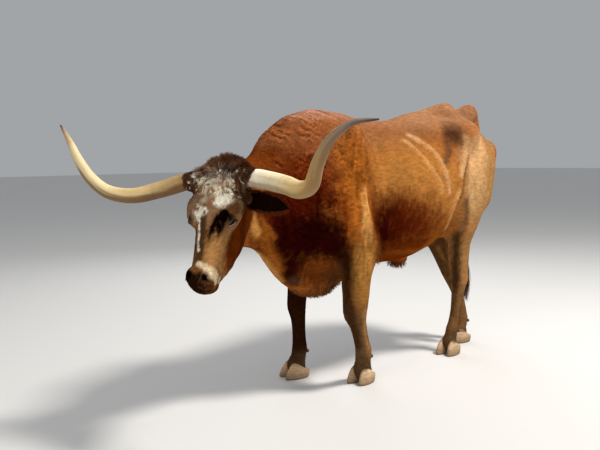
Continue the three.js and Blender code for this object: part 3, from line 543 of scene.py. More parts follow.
    @staticmethod
    def legs() -> list:
        """Forelegs with the point of the elbow, hind legs with the cord of the hock."""
        pieces = []
        for rows in FORELEG.values():
            x, y, z = rows[1][:3]
            pieces.append((Blend([(Limb(rows), 1), (Blob([x, y + 92, z + 34], [34, 44, 52]), 50)]), 70))
        for rows in HINDLEG.values():
            top = rows[4]
            x, y, z = rows[7][:3]
            pieces.append((Blend([
                (Limb(rows), 1),
                (Blob([x, y + 52, z + 8], [20, 26, 44], [-10, 0, 0]), 24),
                (Limb([[top[0], top[1] + 76, top[2], 18, 24], [x, y + 58, z + 20, 15, 18]]), 30),
            ]), 90))
        return pieces

    @staticmethod
    def head() -> Form:
        """Skull, jaw, cheeks, brows, horn bosses and muzzle, in the head's frame."""
        pieces = [
            (Limb([
                [8, 0, -80, 92, 66], [70, 0, -92, 104, 94], [150, 0, -94, 106, 102], [235, 0, -90, 94, 98],
                [310, 0, -78, 76, 82], [390, 2, -68, 64, 68], [455, 5, -62, 60, 60], [494, 7, -60, 61, 54],
                [510, 8, -62, 56, 48]], (0, 1, 0)), 1),
            (Limb([
                [120, 0, -158, 66, 58], [210, 0, -184, 72, 72], [290, 0, -190, 72, 78],
                [365, 2, -174, 67, 78], [440, 5, -136, 56, 56], [500, 8, -104, 48, 38]], (0, 1, 0)), 44),
        ]
        for (a, b, c), sizes, width in (
                ([250, 60, -168], [98, 28, 74], 40), ([212, 88, -52], [52, 38, 40], 36),
                ([140, 92, -66], [66, 34, 44], 40)):
            pieces += [(Blob([a, s * b, c], sizes), width) for s in SIDES.values()]
        pieces.append((Blob([178, -106, -66], [56, 34, 44]), 36))
        pieces += [(Blob([96, s * 98, -118], [40, 32, 38]), 30) for s in SIDES.values()]
        pieces += [
            (Limb([[40, 40, -62, 50, 50], [30, 100, -46, 46, 46], [25, 148, -44, 43, 43]]), 40),
            (Limb([[46, -40, -62, 50, 50], [48, -100, -40, 46, 46], [57, -146, -27, 43, 43]]), 40),
            (Blob([505, 7, -40], [40, 62, 38]), 30),
            (Blob([490, 49, -22], [32, 22, 20]), 16),
            (Blob([490, -35, -22], [32, 22, 20]), 16),
            (Blob([516, 8, -110], [28, 46, 28]), 24),
        ]
        return Blend(pieces)

    def distance(self, points: Array) -> Array:
        """Distance to the whole flesh, with eye openings and nostrils hollowed out."""
        total = self.flesh.distance(points)
        for form, width in self.hollows:
            near = form.near(points, width * MM + Blend.MARGIN)
            if near.any():
                total[near] = -join(-total[near], form.distance(points[near]), width * MM)
        return total

    def slope(self, points: Array, step: float = 0.001) -> tuple:
        """The field and its gradient by forward differences.

        Args:
            points: places in the animal's frame.
            step: length of the difference.

        Returns:
            Values, and one vector a point.
        """
        value = self.distance(points)
        moved = [self.distance(points + step * axis) - value for axis in np.eye(3)]
        return value, np.stack(moved, 1) / step

    def settle(self, points: Array, depth: float) -> Array:
        """Slides points along the field's slope to where the distance is minus the depth.

        Two steps of Newton's method share one slope: the value plus the depth, over the slope's
        square, times the slope.

        Args:
            points: places near the surface.
            depth: how far inside the surface each ends.

        Returns:
            The moved points.
        """
        value, gradient = self.slope(points)
        per_value = gradient / np.maximum(dot(gradient, gradient), self.LEAST_SLOPE)[:, None]
        points = points - per_value * (value + depth)[:, None]
        return points - per_value * (self.distance(points) + depth)[:, None]


def surface_nets(body: Body, low: Array, high: Array, cell: float) -> tuple:
    """A closed skin of squares over a body's surface.

    The field is worked out on a coarse grid, then on the fine one only near the surface. Each
    fine cell that the surface crosses gets one corner at the middle of its crossings, and each
    crossed grid edge gets one square between the four cells round it.

    Args:
        body: the field.
        low: lowest corner of the grid.
        high: highest corner.
        cell: pitch of the fine grid.

    Returns:
        Corner places and squares of corner numbers.
    """
    coarse = 4
    reach = cell * coarse * 1.9
    blocks = np.ceil((high - low) / (cell * coarse)).astype(int)
    grid = np.stack(np.meshgrid(*[np.arange(n + 1) for n in blocks], indexing="ij"), -1)
    rough = body.distance(low + grid.reshape(-1, 3) * cell * coarse).reshape(grid.shape[:3])
    shape = blocks * coarse + 1
    values = np.repeat(np.repeat(np.repeat(rough, coarse, 0), coarse, 1), coarse, 2)
    values = values[: shape[0], : shape[1], : shape[2]].copy()
    active = np.zeros(shape, bool)
    for block in np.argwhere(np.abs(rough) < reach) * coarse:
        active[tuple(slice(max(n - coarse, 0), n + coarse + 1) for n in block)] = True
    wanted = np.argwhere(active)
    values[active] = body.distance(low + wanted * cell)
    inside = values < 0
    mixed = np.zeros(shape - 1, np.int8)
    for corner in range(8):
        i, j, k = cube_corner(corner)
        mixed += inside[i: shape[0] - 1 + i, j: shape[1] - 1 + j, k: shape[2] - 1 + k]
    cells = np.argwhere((mixed > 0) & (mixed < 8))
    number = np.full(shape - 1, -1)
    number[tuple(cells.T)] = np.arange(len(cells))
    total = np.zeros((len(cells), 3))
    crossings = np.zeros(len(cells))
    for corner in range(8):
        start = cube_corner(corner)
        for axis in np.flatnonzero(start == 0):
            step = np.eye(3, dtype=int)[axis]
            va = values[tuple((cells + start).T)]
            vb = values[tuple((cells + start + step).T)]
            crossed = (va < 0) != (vb < 0)
            share = np.where(crossed, va / np.where(crossed, va - vb, 1.0), 0.0)
            total += crossed[:, None] * (start + share[:, None] * step)
            crossings += crossed
    places = low + (cells + total / crossings[:, None]) * cell
    squares = []
    for axis in range(3):
        u, v = [(1, 2), (2, 0), (0, 1)][axis]
        step = np.eye(3, dtype=int)[axis]
        first = inside[: shape[0] - step[0], : shape[1] - step[1], : shape[2] - step[2]]
        second = inside[step[0]:, step[1]:, step[2]:]
        nodes = np.argwhere(first != second)
        nodes = nodes[(nodes[:, u] > 0) & (nodes[:, v] > 0)]
        outward = first[tuple(nodes.T)]
        ring = []
        for du, dv in ((0, 0), (1, 0), (1, 1), (0, 1)):
            at = nodes.copy()
            at[:, u] -= du
            at[:, v] -= dv
            ring.append(number[tuple(at.T)])
        ring = np.stack(ring, 1)
        ring[~outward] = ring[~outward][:, ::-1]
        squares.append(ring)
    return places, np.concatenate(squares)


def mesh_from(name: str, corners: Array, faces: Array) -> bpy.types.Mesh:
    """A mesh from corner places and faces that all have the same number of corners."""
    mesh = bpy.data.meshes.new(name)
    mesh.from_pydata(corners.tolist(), [], faces.tolist())
    mesh.update()
    return mesh


def corners_of(mesh: bpy.types.Mesh) -> Array:
    """A mesh's corner places."""
    places = np.empty(len(mesh.vertices) * 3, np.float32)
    mesh.vertices.foreach_get("co", places)
    return places.reshape(-1, 3).astype(float)


def normals_of(mesh: bpy.types.Mesh) -> Array:
    """A mesh's corner normals."""
    out = np.empty(len(mesh.vertices) * 3, np.float32)
    mesh.vertex_normals.foreach_get("vector", out)
    return out.reshape(-1, 3).astype(float)


# Relief: ribs, folds, cords and creases as soft strokes on the skin


class Frame(Enum):
    """Whose frame a table's places are in."""

    BODY = "body"
    MIRRORED = "mirrored"
    HEAD = "head"
    BOTH_CHEEKS = "both cheeks"


def placed(rows: Rows, where: Frame) -> list:
    """A path's copies in the animal's frame, metres: one, or one on each side."""
    path = np.array(rows, float) * MM
    flip = np.array([-1.0, 1, 1]) if where is Frame.MIRRORED else np.array([1.0, -1, 1])
    if where is Frame.BODY:
        return [path]
    if where is Frame.MIRRORED:
        return [path, path * flip]
    if where is Frame.HEAD:
        return [HEAD.out_of(path)]
    return [HEAD.out_of(path), HEAD.out_of(path * flip)]


def along_path(points: Array, path: Array) -> tuple:
    """Distance from points to a polyline, and the share of its length at the nearest place."""
    best = np.full(len(points), np.inf)
    share = np.zeros(len(points))
    lengths = np.sqrt(((path[1:] - path[:-1]) ** 2).sum(1))
    reached = np.concatenate([[0], np.cumsum(lengths)]) / lengths.sum()
    for i, size in enumerate(lengths):
        axis = (path[i + 1] - path[i]) / size
        p = points - path[i]
        t = np.clip(p @ axis, 0, size)
        away = np.sqrt(((p - t[:, None] * axis) ** 2).sum(1))
        closer = away < best
        best[closer] = away[closer]
        share[closer] = (reached[i] + (reached[i + 1] - reached[i]) * t / size)[closer]
    return best, share


@dataclass(frozen=True)
class Fold:
    """A soft ridge, or a groove where the lift is negative, along a path on the skin.

    The fade is the share of the path's length over which it rises at each end.
    """

    path: tuple
    width: float
    lift: float
    where: Frame = Frame.MIRRORED
    fade: float = 0.18


# The two ribs that stand out most behind the shoulder
UPPER_RIB = ((165, 490, 1356), (205, 530, 1322), (240, 590, 1280), (268, 640, 1215),
             (286, 672, 1145), (291, 695, 1080), (288, 706, 1030))
LOWER_RIB = ((190, 425, 1330), (226, 462, 1286), (256, 505, 1235), (280, 550, 1172),
             (294, 600, 1100), (297, 632, 1032))

FOLDS = (
    # Ribs behind the shoulder
    Fold(UPPER_RIB, 15, 9),
    Fold(LOWER_RIB, 15, 9),
    Fold(((208, 470, 1315), (245, 500, 1260), (275, 545, 1190), (293, 620, 1120),
          (295, 690, 1055)), 14, -8),
    Fold(((230, 385, 1270), (262, 440, 1190), (285, 510, 1100), (300, 600, 1010)), 16, 4),
    Fold(((236, 320, 1230), (270, 380, 1130), (292, 450, 1040)), 16, 3),
    Fold(((180, 590, 1370), (240, 650, 1290), (270, 720, 1190), (280, 790, 1110)), 17, 3.5),
    # The hollow before the hook, and the fold that hangs from the hook to the stifle
    Fold(((225, 800, 1385), (232, 805, 1330), (240, 800, 1270)), 52, -15, fade=0.3),
    Fold(((267, 895, 1322), (263, 882, 1228), (274, 837, 1120), (274, 819, 1024), (272, 781, 967),
          (250, 763, 879), (200, 800, 806)), 13, 14),
    Fold(((262, 862, 1228), (272, 808, 1120), (274, 790, 1024), (268, 752, 967), (246, 734, 885)), 13, -7),
    Fold(((258, 925, 1228), (262, 880, 1120), (262, 862, 1024), (256, 826, 960), (236, 800, 880)), 13, -7),
    Fold(((262, 905, 1060), (256, 850, 950), (238, 818, 870), (190, 840, 800)), 9, 5),
    Fold(((276, 760, 1000), (266, 720, 920), (240, 700, 840), (190, 720, 760)), 9, 5),
    # Muscle lines of the thigh
    Fold(((214, 1181, 1263), (227, 1163, 1201), (245, 1076, 1074), (249, 1040, 984),
          (246, 1047, 898)), 20, 6),
    Fold(((200, 1140, 1240), (222, 1110, 1150), (240, 1010, 1040), (250, 960, 960)), 22, -6),
    Fold(((190, 1235, 1200), (205, 1200, 1090), (215, 1140, 980), (205, 1110, 880)), 16, -5),
    # Shoulder blade, and the edge of the triceps over the elbow
    Fold(((214, -26, 1360), (232, -44, 1293), (244, -60, 1200), (247, -70, 1110)), 20, 6),
    Fold(((240, 90, 1240), (275, 76, 1080), (298, 92, 960), (300, 105, 860), (280, 115, 780)), 26, -20),
    Fold(((255, 50, 1180), (284, 24, 1016), (300, 26, 900), (298, 40, 820)), 22, 9),
    Fold(((262, -30, 990), (285, -50, 900), (278, -50, 800), (262, -40, 700)), 15, -4),
    Fold(((240, -160, 990), (262, -130, 890), (258, -95, 800), (244, -70, 700)), 18, 4),
    # Wrinkles of the neck and dewlap
    Fold(((240, -650, 1150), (232, -610, 1010), (195, -560, 900), (130, -500, 800)), 14, 5, Frame.BODY),
    Fold(((215, -560, 1170), (205, -530, 1010), (170, -480, 880), (90, -440, 770)), 14, -5, Frame.BODY),
    Fold(((190, -470, 1180), (185, -440, 1010), (150, -390, 850), (70, -350, 700)), 16, 5, Frame.BODY),
    Fold(((180, -390, 1150), (185, -350, 1000), (150, -310, 830), (70, -280, 660)), 14, -4, Frame.BODY),
    Fold(((80, -640, 1150), (50, -600, 1010), (60, -560, 900), (80, -500, 800)), 14, 5, Frame.BODY),
    Fold(((20, -480, 1150), (-30, -440, 1010), (-20, -400, 850), (10, -350, 700)), 16, 5, Frame.BODY),
    Fold(((110, -200, 800), (100, -230, 700), (70, -230, 610)), 14, -5),
    Fold(((150, -130, 760), (130, -160, 660), (90, -170, 570)), 14, 4),
    # Face: crest of the cheek, vein, folds over the eye, and the line of the mouth
    Fold(((262, 88, -112), (300, 84, -112), (345, 74, -106), (385, 66, -100)), 10, 4, Frame.BOTH_CHEEKS),
    Fold(((270, 60, -30), (320, 54, -26), (380, 52, -22), (440, 54, -20)), 9, -3, Frame.BOTH_CHEEKS),
    Fold(((300, 78, -150), (345, 70, -140), (395, 62, -128), (440, 60, -118)), 10, -3, Frame.BOTH_CHEEKS),
    Fold(((176, 96, -30), (196, 104, -28), (222, 104, -30)), 6, 3, Frame.BOTH_CHEEKS),
    Fold(((168, 104, -44), (186, 112, -42), (214, 114, -42)), 5, -2.5, Frame.BOTH_CHEEKS),
    Fold(((250, 84, -60), (268, 76, -66), (290, 70, -70)), 7, -2.5, Frame.BOTH_CHEEKS),
    Fold(((434, 70, -108), (462, 64, -101), (492, 54, -93), (516, 36, -86), (530, 8, -84), (516, -20, -86),
          (492, -38, -93), (462, -52, -101), (434, -62, -108)), 4.5, -8, Frame.HEAD, 0.06),
    Fold(((450, 68, -92), (485, 58, -82), (512, 40, -76), (526, 8, -74), (512, -24, -76), (485, -42, -82),
          (450, -56, -92)), 7, 2.5, Frame.HEAD, 0.1),
    Fold(((422, 66, -96), (430, 68, -110), (428, 66, -124)), 5, -2.5, Frame.BOTH_CHEEKS),
    Fold(((524, 8, -30), (530, 8, -50), (528, 8, -74)), 3.5, -2.5, Frame.HEAD),
)


class Relief:
    """Every stroke, laid on the surface once, and the lift that they give together."""

    REACH = 2.6

    def __init__(self, body: Body) -> None:
        """Settles each path onto the flesh.

        Args:
            body: the flesh whose surface carries the strokes.
        """
        self.strokes = []
        for fold in FOLDS + self.cords():
            for path in placed(fold.path, fold.where):
                path = smoothed(path, 3)
                self.strokes.append((body.settle(body.settle(path, 0.0), 0.0), fold))

    @staticmethod
    def cords() -> tuple:
        """Grooves beside the cannon bones and before the cords of the hocks."""
        folds = []
        for table in (FORELEG, HINDLEG):
            hind = table is HINDLEG
            for rows in table.values():
                shank = rows[7:11] if hind else rows[5:9]
                for s in SIDES.values():
                    for back, lift in ((0.32, -4.5), (-0.45, -2)):
                        path = tuple((x + s * w * 0.95, y + d * back, z) for x, y, z, w, d in shank)
                        folds.append(Fold(path, 7, lift, Frame.BODY))
                for s in SIDES.values() if hind else ():
                    path = tuple((x + s * w * 0.9, y + d * 0.75, z) for x, y, z, w, d in rows[4:7])
                    folds.append(Fold(path, 15, -8, Frame.BODY))
        return tuple(folds)

    def lift(self, points: Array) -> Array:
        """How far each place stands out: a bell curve across each stroke, faded at its ends."""
        total = np.zeros(len(points))
        for path, fold in self.strokes:
            reach = fold.width * MM * self.REACH
            near = ((points > path.min(0) - reach) & (points < path.max(0) + reach)).all(1)
            if not near.any():
                continue
            away, share = along_path(points[near], path)
            ends = smoothstep(0, fold.fade, share) * smoothstep(0, fold.fade, 1 - share)
            total[near] += fold.lift * MM * ends * np.exp(-((away / (fold.width * MM)) ** 2))
        return total


# Markings: named tints laid over each other as soft spots and streaks, some of them painted light and shade


class Tint(Enum):
    """The coat's tints, as screen colours from 0 to 255."""

    RUSSET = (148, 84, 34)
    PINK_BROWN = (158, 112, 88)
    LOIN = (154, 108, 74)
    TAN = (158, 103, 48)
    TAWNY = (170, 111, 52)
    GOLD = (204, 156, 98)
    STRAW = (208, 160, 110)
    SAND = (186, 144, 96)
    RIDGE = (138, 88, 50)
    RUST = (104, 48, 14)
    MAHOGANY = (70, 16, 4)
    BLOOD = (98, 38, 12)
    DEEP = (40, 5, 2)
    HUMP = (134, 77, 42)
    BELLY = (98, 42, 6)
    AMBER = (150, 84, 28)
    SHOULDER = (120, 58, 16)
    # Painted highlight for the ridge at the back of the shoulder
    SHOULDER_HIGHLIGHT = (200, 143, 78)
    THROAT = (188, 130, 66)
    THIGH = (162, 120, 74)
    HIND = (156, 112, 66)
    DARK_BROWN = (82, 54, 38)
    UMBER = (98, 62, 32)
    SHANK = (102, 76, 48)
    FOREARM = (152, 104, 50)
    KNEE = (66, 42, 24)
    SHADE_LEG = (40, 16, 6)
    FETLOCK = (88, 64, 42)
    CREAM = (240, 222, 190)
    WHITE = (252, 240, 216)
    FACE = (150, 106, 62)
    BRIDGE = (178, 127, 76)
    CHEEK = (78, 32, 5)
    JAW = (72, 34, 10)
    ROAN = (140, 108, 82)
    SPOT = (138, 84, 46)
    NIGHT = (12, 4, 2)
    MUZZLE = (34, 17, 8)
    NOSE_SIDE = (66, 40, 22)
    RING = (232, 206, 166)
    CHIN = (80, 48, 23)
    # Near black, for the ear: painted shade in its cup
    EAR = (26, 9, 6)
    POLL = (66, 42, 28)
    TUFT = (104, 68, 46)

    @property
    def light(self) -> Array:
        """The tint in linear light."""
        return linear(self.value)


@dataclass(frozen=True)
class Spot:
    """A tinted oval: its middle, its half sizes, and how soft and how ragged its edge is."""

    tint: Tint
    place: tuple
    sizes: tuple
    soft: float = 0.35
    ragged: float = 0.25
    where: Frame = Frame.MIRRORED
    strength: float = 1.0


@dataclass(frozen=True)
class Streak:
    """A tinted band along a path, with an edge as soft and as ragged as a spot's."""

    tint: Tint
    path: tuple
    width: float
    soft: float = 0.5
    ragged: float = 0.25
    where: Frame = Frame.MIRRORED
    strength: float = 1.0


MARKS = (
    # Trunk, from the back down
    Spot(Tint.RIDGE, (150, 300, 1370), (190, 430, 130), 0.5),
    Spot(Tint.PINK_BROWN, (0, 250, 1560), (230, 950, 130), 0.5),
    Spot(Tint.LOIN, (60, 760, 1480), (190, 330, 130), 0.5),
    Spot(Tint.HUMP, (60, -280, 1280), (260, 370, 200), 0.5),
    Spot(Tint.PINK_BROWN, (0, -150, 1510), (200, 260, 80), 0.5),
    Spot(Tint.TAN, (280, 340, 1130), (170, 260, 190), 0.5),
    Spot(Tint.TAWNY, (290, 640, 1060), (160, 230, 220), 0.5, 0.3),
    Spot(Tint.RUST, (290, 300, 920), (200, 250, 100), 0.9, 0.6),
    Spot(Tint.BLOOD, (260, 360, 830), (200, 330, 90), 0.9, 0.6),
    Spot(Tint.BELLY, (120, 330, 690), (260, 520, 120), 0.4),
    # Behind the elbow: the mahogany spot is the hair's own dark deepened with painted shade, and the deep
    # spot on the left is painted shade
    Spot(Tint.MAHOGANY, (270, 270, 860), (130, 150, 120), 0.95, 0.6, strength=0.85),
    Spot(Tint.DEEP, (285, 170, 850), (110, 96, 150), 0.8, 0.5, Frame.BODY),
    Streak(Tint.AMBER, ((60, 612, 632), (170, 676, 730), (230, 740, 830)), 55, 0.8, 0.3, strength=0.7),
    Streak(Tint.AMBER, ((205, 240, 690), (186, 330, 680), (175, 470, 680), (150, 600, 670)), 26, 1.0, 0.9,
           strength=0.7),
    # Painted highlights along the two ribs behind the shoulder, on the left side only
    Streak(Tint.STRAW, UPPER_RIB, 15, 1.0, 0.9, Frame.BODY, 0.72),
    Streak(Tint.GOLD, LOWER_RIB, 14, 1.0, 0.9, Frame.BODY, 0.6),
    # Neck, shoulder and chest
    Spot(Tint.AMBER, (250, -40, 1110), (120, 130, 250), 0.5, 0.3),
    Spot(Tint.SHOULDER, (270, -110, 930), (70, 70, 150), 0.7, 0.6),
    Spot(Tint.BLOOD, (190, -330, 1130), (200, 210, 150), 0.5, 0.3),
    # Lower neck, chest and brisket: the hair's own dark red, deepened with painted shade under the neck
    Spot(Tint.MAHOGANY, (160, -420, 980), (240, 260, 160), 0.5, 0.4),
    Spot(Tint.DEEP, (140, -340, 830), (200, 240, 150), 0.5, 0.45),
    Spot(Tint.DEEP, (215, -170, 800), (80, 90, 180), 0.6, 0.45),
    Spot(Tint.DEEP, (80, -330, 680), (60, 90, 80), 0.6, 0.4),
    Spot(Tint.RUST, (120, -160, 625), (90, 110, 60), 0.9, 0.8),
    Spot(Tint.DEEP, (70, -300, 610), (60, 70, 46), 0.8, 0.6),
    Spot(Tint.DEEP, (215, -90, 660), (60, 50, 150), 0.5, 0.3),
    Spot(Tint.RUST, (130, -600, 1240), (160, 200, 70), 0.5, 0.3),
    Streak(Tint.AMBER, ((258, -20, 1060), (280, -46, 960), (284, -50, 880), (272, -50, 780)), 40, 0.8, 0.6,
           strength=0.8),
    # Painted highlight along the ridge at the back of the shoulder, on the left side only
    Streak(Tint.SHOULDER_HIGHLIGHT, ((262, 42, 1060), (286, 24, 960), (297, 5, 889), (292, 20, 810)), 25, 0.8, 0.4,
           Frame.BODY),
    Streak(Tint.AMBER, ((190, -590, 900), (130, -520, 830), (80, -450, 760), (50, -380, 680)), 30, 0.9, 0.8,
           Frame.BODY, 0.9),
    # Painted highlight along the front edge of the dewlap
    Streak(Tint.THROAT, ((70, -600, 830), (50, -500, 752), (32, -430, 700), (10, -330, 620)), 22, 0.7, 0.4,
           Frame.BODY),
    Streak(Tint.THROAT, ((239, -685, 981), (206, -650, 935), (176, -610, 890)), 26, 0.7, 0.6, Frame.BODY),
    Streak(Tint.AMBER, ((206, -614, 960), (150, -520, 900), (130, -470, 850)), 15, 0.8, 0.9,
           Frame.BODY, 0.8),
    Streak(Tint.MAHOGANY, ((228, -600, 1100), (215, -570, 1000), (180, -520, 890), (120, -470, 800)), 9,
           0.9, 1.0, Frame.BODY, 0.75),
    Streak(Tint.MAHOGANY, ((212, -640, 1000), (190, -600, 930), (140, -540, 860)), 7, 0.9, 1.0,
           Frame.BODY, 0.6),
    Spot(Tint.AMBER, (150, -135, 645), (44, 64, 34), 0.9, 0.8, strength=0.6),
    Streak(Tint.DARK_BROWN, ((60, -290, 600), (110, -230, 570), (110, -120, 530)), 30, 0.7, 0.4, Frame.BODY, 0.8),
    # Haunch
    Spot(Tint.LOIN, (120, 1130, 1440), (220, 300, 140), 0.5, 0.3),
    Spot(Tint.THIGH, (250, 1060, 1000), (160, 190, 300), 0.5, 0.3),
    Spot(Tint.SAND, (250, 1010, 1080), (120, 110, 160), 0.6, 0.3),
    Spot(Tint.STRAW, (240, 1030, 1260), (120, 150, 120), 0.6, 0.3),
    Spot(Tint.THIGH, (190, 1250, 1200), (100, 70, 240), 0.6, 0.3, strength=0.8),
    # Painted shade in the hollow before the hook, under the hook's prominence
    Spot(Tint.DARK_BROWN, (226, 812, 1362), (60, 64, 86), 0.7, 0.4, strength=0.85),
    Streak(Tint.DARK_BROWN, ((235, 790, 1320), (246, 760, 1270), (266, 700, 1215)), 34, 0.9, 0.5, strength=0.8),
    # Painted highlight along the fold that hangs from the hook to the stifle, on the left side only
    Streak(Tint.STRAW, ((262, 885, 1345), (267, 895, 1322), (263, 882, 1228), (274, 837, 1120)), 15,
           0.7, 0.2, Frame.BODY),
    Streak(Tint.GOLD, ((274, 819, 1024), (272, 781, 967), (250, 763, 879), (200, 790, 806)), 16, 0.7, 0.2,
           Frame.BODY, 0.7),
    # Painted shade in the groove beside that fold
    Streak(Tint.UMBER, ((258, 925, 1228), (262, 880, 1120), (262, 862, 1024), (256, 826, 960)), 12,
           0.7, 0.3, strength=0.6),
    # Painted shade on the front of the thigh, under the fold at the stifle
    Streak(Tint.DARK_BROWN, ((258, 900, 960), (252, 920, 880), (240, 920, 800)), 30, 0.8, 0.4, strength=0.8),
    # Legs, darker in front and lighter behind: their own colours with painted shade on the fronts and
    # painted light on the backs
    Spot(Tint.UMBER, (200, 0, 380), (160, 200, 330), 0.3, 0.2),
    Spot(Tint.FOREARM, (262, 20, 640), (80, 100, 190), 0.5, 0.3),
    # Painted shade down the front of each foreleg
    Streak(Tint.SHADE_LEG, ((242, -84, 780), (236, -84, 640), (226, -84, 500), (220, -76, 430)), 34,
           0.9, 0.5),
    Spot(Tint.SHANK, (200, 60, 250), (130, 190, 190), 0.4, 0.2),
    Streak(Tint.KNEE, ((232, -72, 470), (214, -10, 340), (186, 36, 260), (168, 50, 150)), 27, 0.6, 0.3),
    Streak(Tint.HIND, ((262, 30, 420), (240, 60, 320), (216, 110, 230), (190, 150, 130)), 22, 0.7, 0.3,
           strength=0.8),
    Spot(Tint.HIND, (190, 1050, 650), (150, 220, 170), 0.5, 0.3),
    Spot(Tint.HIND, (160, 1100, 450), (150, 260, 190), 0.4, 0.2),
    Spot(Tint.SHANK, (110, 1080, 180), (270, 430, 230), 0.4, 0.2, strength=0.85),
    Streak(Tint.KNEE, ((215, 880, 760), (182, 913, 676), (150, 950, 560), (139, 973, 467), (128, 950, 330),
                       (130, 900, 200)), 32, 0.95, 0.5),
    # Painted shade over the far hind leg
    Spot(Tint.KNEE, (-130, 1090, 560), (120, 150, 230), 0.5, 0.3, Frame.BODY, 0.85),
    Streak(Tint.FOREARM, ((-89, 1090, 640), (-92, 1170, 540)), 16, 0.8, 0.4, Frame.BODY, 0.7),
    # Painted shade over the far foreleg
    Spot(Tint.SHADE_LEG, (-160, -60, 380), (120, 200, 360), 0.3, 0.2, Frame.BODY, 0.95),
    Spot(Tint.FETLOCK, (150, 80, 70), (160, 200, 90), 0.5, 0.2),
    Spot(Tint.FETLOCK, (130, 1050, 60), (160, 260, 90), 0.5, 0.2),
    # Tail
    Streak(Tint.TAN, ((0, 1386, 1320), (3, 1372, 1180), (6, 1328, 1020), (8, 1272, 860)), 45, 0.6, 0.3,
           Frame.BODY),
    Streak(Tint.UMBER, ((8, 1272, 860), (14, 1230, 740), (22, 1190, 620)), 45, 0.9, 0.3, Frame.BODY),
    # Face, from the poll down
    Spot(Tint.FACE, (300, 0, -90), (330, 190, 190), 0.15, 0.1, Frame.HEAD),
    # Jaw and cheeks: their own darker brown, deepened with painted shade
    Spot(Tint.JAW, (330, 0, -230), (150, 90, 60), 0.5, 0.15, Frame.HEAD),
    Spot(Tint.CHEEK, (290, 100, -165), (230, 60, 92), 0.2, 0.1, Frame.BOTH_CHEEKS),
    Spot(Tint.ROAN, (150, 0, -30), (140, 140, 70), 0.3, 0.3, Frame.HEAD),
    Spot(Tint.POLL, (-20, 0, -60), (66, 220, 120), 0.3, 0.3, Frame.HEAD),
    Spot(Tint.POLL, (44, 134, -56), (100, 80, 100), 0.25, 0.25, Frame.HEAD),
    Spot(Tint.POLL, (46, -140, -56), (100, 74, 100), 0.25, 0.25, Frame.HEAD),
    Streak(Tint.POLL, ((90, 110, -60), (120, 124, -80), (160, 118, -96)), 34, 0.4, 0.3, Frame.HEAD),
    Spot(Tint.ROAN, (52, 112, -50), (34, 36, 30), 0.5, 0.9, Frame.HEAD, 0.7),
    Spot(Tint.WHITE, (52, -6, -6), (40, 84, 60), 0.25, 0.9, Frame.HEAD),
    Spot(Tint.SPOT, (74, 26, 0), (20, 44, 40), 0.3, 0.5, Frame.HEAD, 0.8),
    Spot(Tint.WHITE, (140, 49, 0), (50, 38, 50), 0.2, 0.6, Frame.HEAD),
    Spot(Tint.CREAM, (114, -24, -8), (44, 34, 50), 0.4, 1.4, Frame.HEAD, 0.6),
    Spot(Tint.CREAM, (98, 26, -4), (26, 40, 40), 0.5, 1.5, Frame.HEAD, 0.35),
    Spot(Tint.FACE, (166, 0, 0), (46, 16, 40), 0.4, 0.6, Frame.HEAD, 0.7),
    Spot(Tint.WHITE, (208, -42, -10), (36, 24, 50), 0.3, 0.9, Frame.HEAD, 0.9),
    Spot(Tint.UMBER, (184, 100, -24), (36, 32, 40), 0.6, 0.4, Frame.HEAD),
    Streak(Tint.UMBER, ((216, 70, -6), (280, 52, -6), (340, 46, -8)), 40, 0.6, 0.4, Frame.HEAD, 0.7),
    Streak(Tint.NIGHT, ((222, 68, -8), (250, 57, -5), (284, 50, -7), (326, 48, -10)), 28, 0.2, 0.15,
           Frame.HEAD),
    Spot(Tint.NIGHT, (290, 49, -8), (46, 34, 36), 0.25, 0.2, Frame.HEAD),
    Spot(Tint.NIGHT, (232, 92, -40), (18, 22, 30), 0.4, 0.3, Frame.HEAD),
    Spot(Tint.NIGHT, (232, -96, -50), (30, 24, 30), 0.35, 0.2, Frame.HEAD),
    # The right side of the nose is darker: partly its own brown, partly painted shade
    Streak(Tint.NOSE_SIDE, ((250, -20, 4), (310, -14, 6), (380, -6, 2), (440, -2, -6)), 22, 0.5, 0.3,
           Frame.HEAD, 0.85),
    Spot(Tint.NOSE_SIDE, (400, -62, -50), (120, 44, 80), 0.5, 0.25, Frame.HEAD),
    Spot(Tint.BRIDGE, (392, 62, -20), (84, 36, 60), 0.5, 0.3, Frame.HEAD),
    Streak(Tint.WHITE, ((252, -44, 0), (300, -34, 0), (345, -28, 0), (384, -14, 0)), 10, 0.3, 0.45,
           Frame.HEAD),
    Spot(Tint.SPOT, (510, 50, -60), (60, 50, 60), 0.4, 0.2, Frame.HEAD),
    Spot(Tint.MUZZLE, (522, -12, -52), (66, 78, 80), 0.3, 0.15, Frame.HEAD),
    Spot(Tint.RING, (474, 66, -30), (27, 32, 50), 0.35, 0.2, Frame.HEAD),
    Streak(Tint.RING, ((448, 0, -6), (454, 40, -10), (468, 72, -30), (504, 72, -66)), 13, 0.6, 0.25,
           Frame.HEAD),
    Spot(Tint.SPOT, (470, -10, -4), (16, 24, 30), 0.6, 0.2, Frame.HEAD, 0.6),
    Spot(Tint.CHIN, (524, 20, -112), (70, 80, 40), 0.3, 0.2, Frame.HEAD),
    Streak(Tint.NIGHT, ((440, 70, -107), (462, 64, -101), (492, 54, -93), (516, 36, -86), (530, 8, -84),
                        (516, -20, -86), (492, -38, -93)), 5, 0.5, 0.2, Frame.HEAD, 0.85),
    Streak(Tint.CREAM, ((448, 72, -117), (468, 66, -111), (494, 56, -103), (514, 36, -96)), 6, 0.9, 0.8,
           Frame.HEAD, 0.55),
    Streak(Tint.CREAM, ((496, 60, -84), (514, 42, -77), (526, 18, -74)), 6, 0.9, 0.8, Frame.HEAD, 0.4),
    Spot(Tint.NIGHT, (500, 42, -10), (17, 12, 26), 0.3, 0.1, Frame.HEAD),
    Spot(Tint.NIGHT, (500, -36, -10), (20, 13, 26), 0.3, 0.1, Frame.HEAD),
)


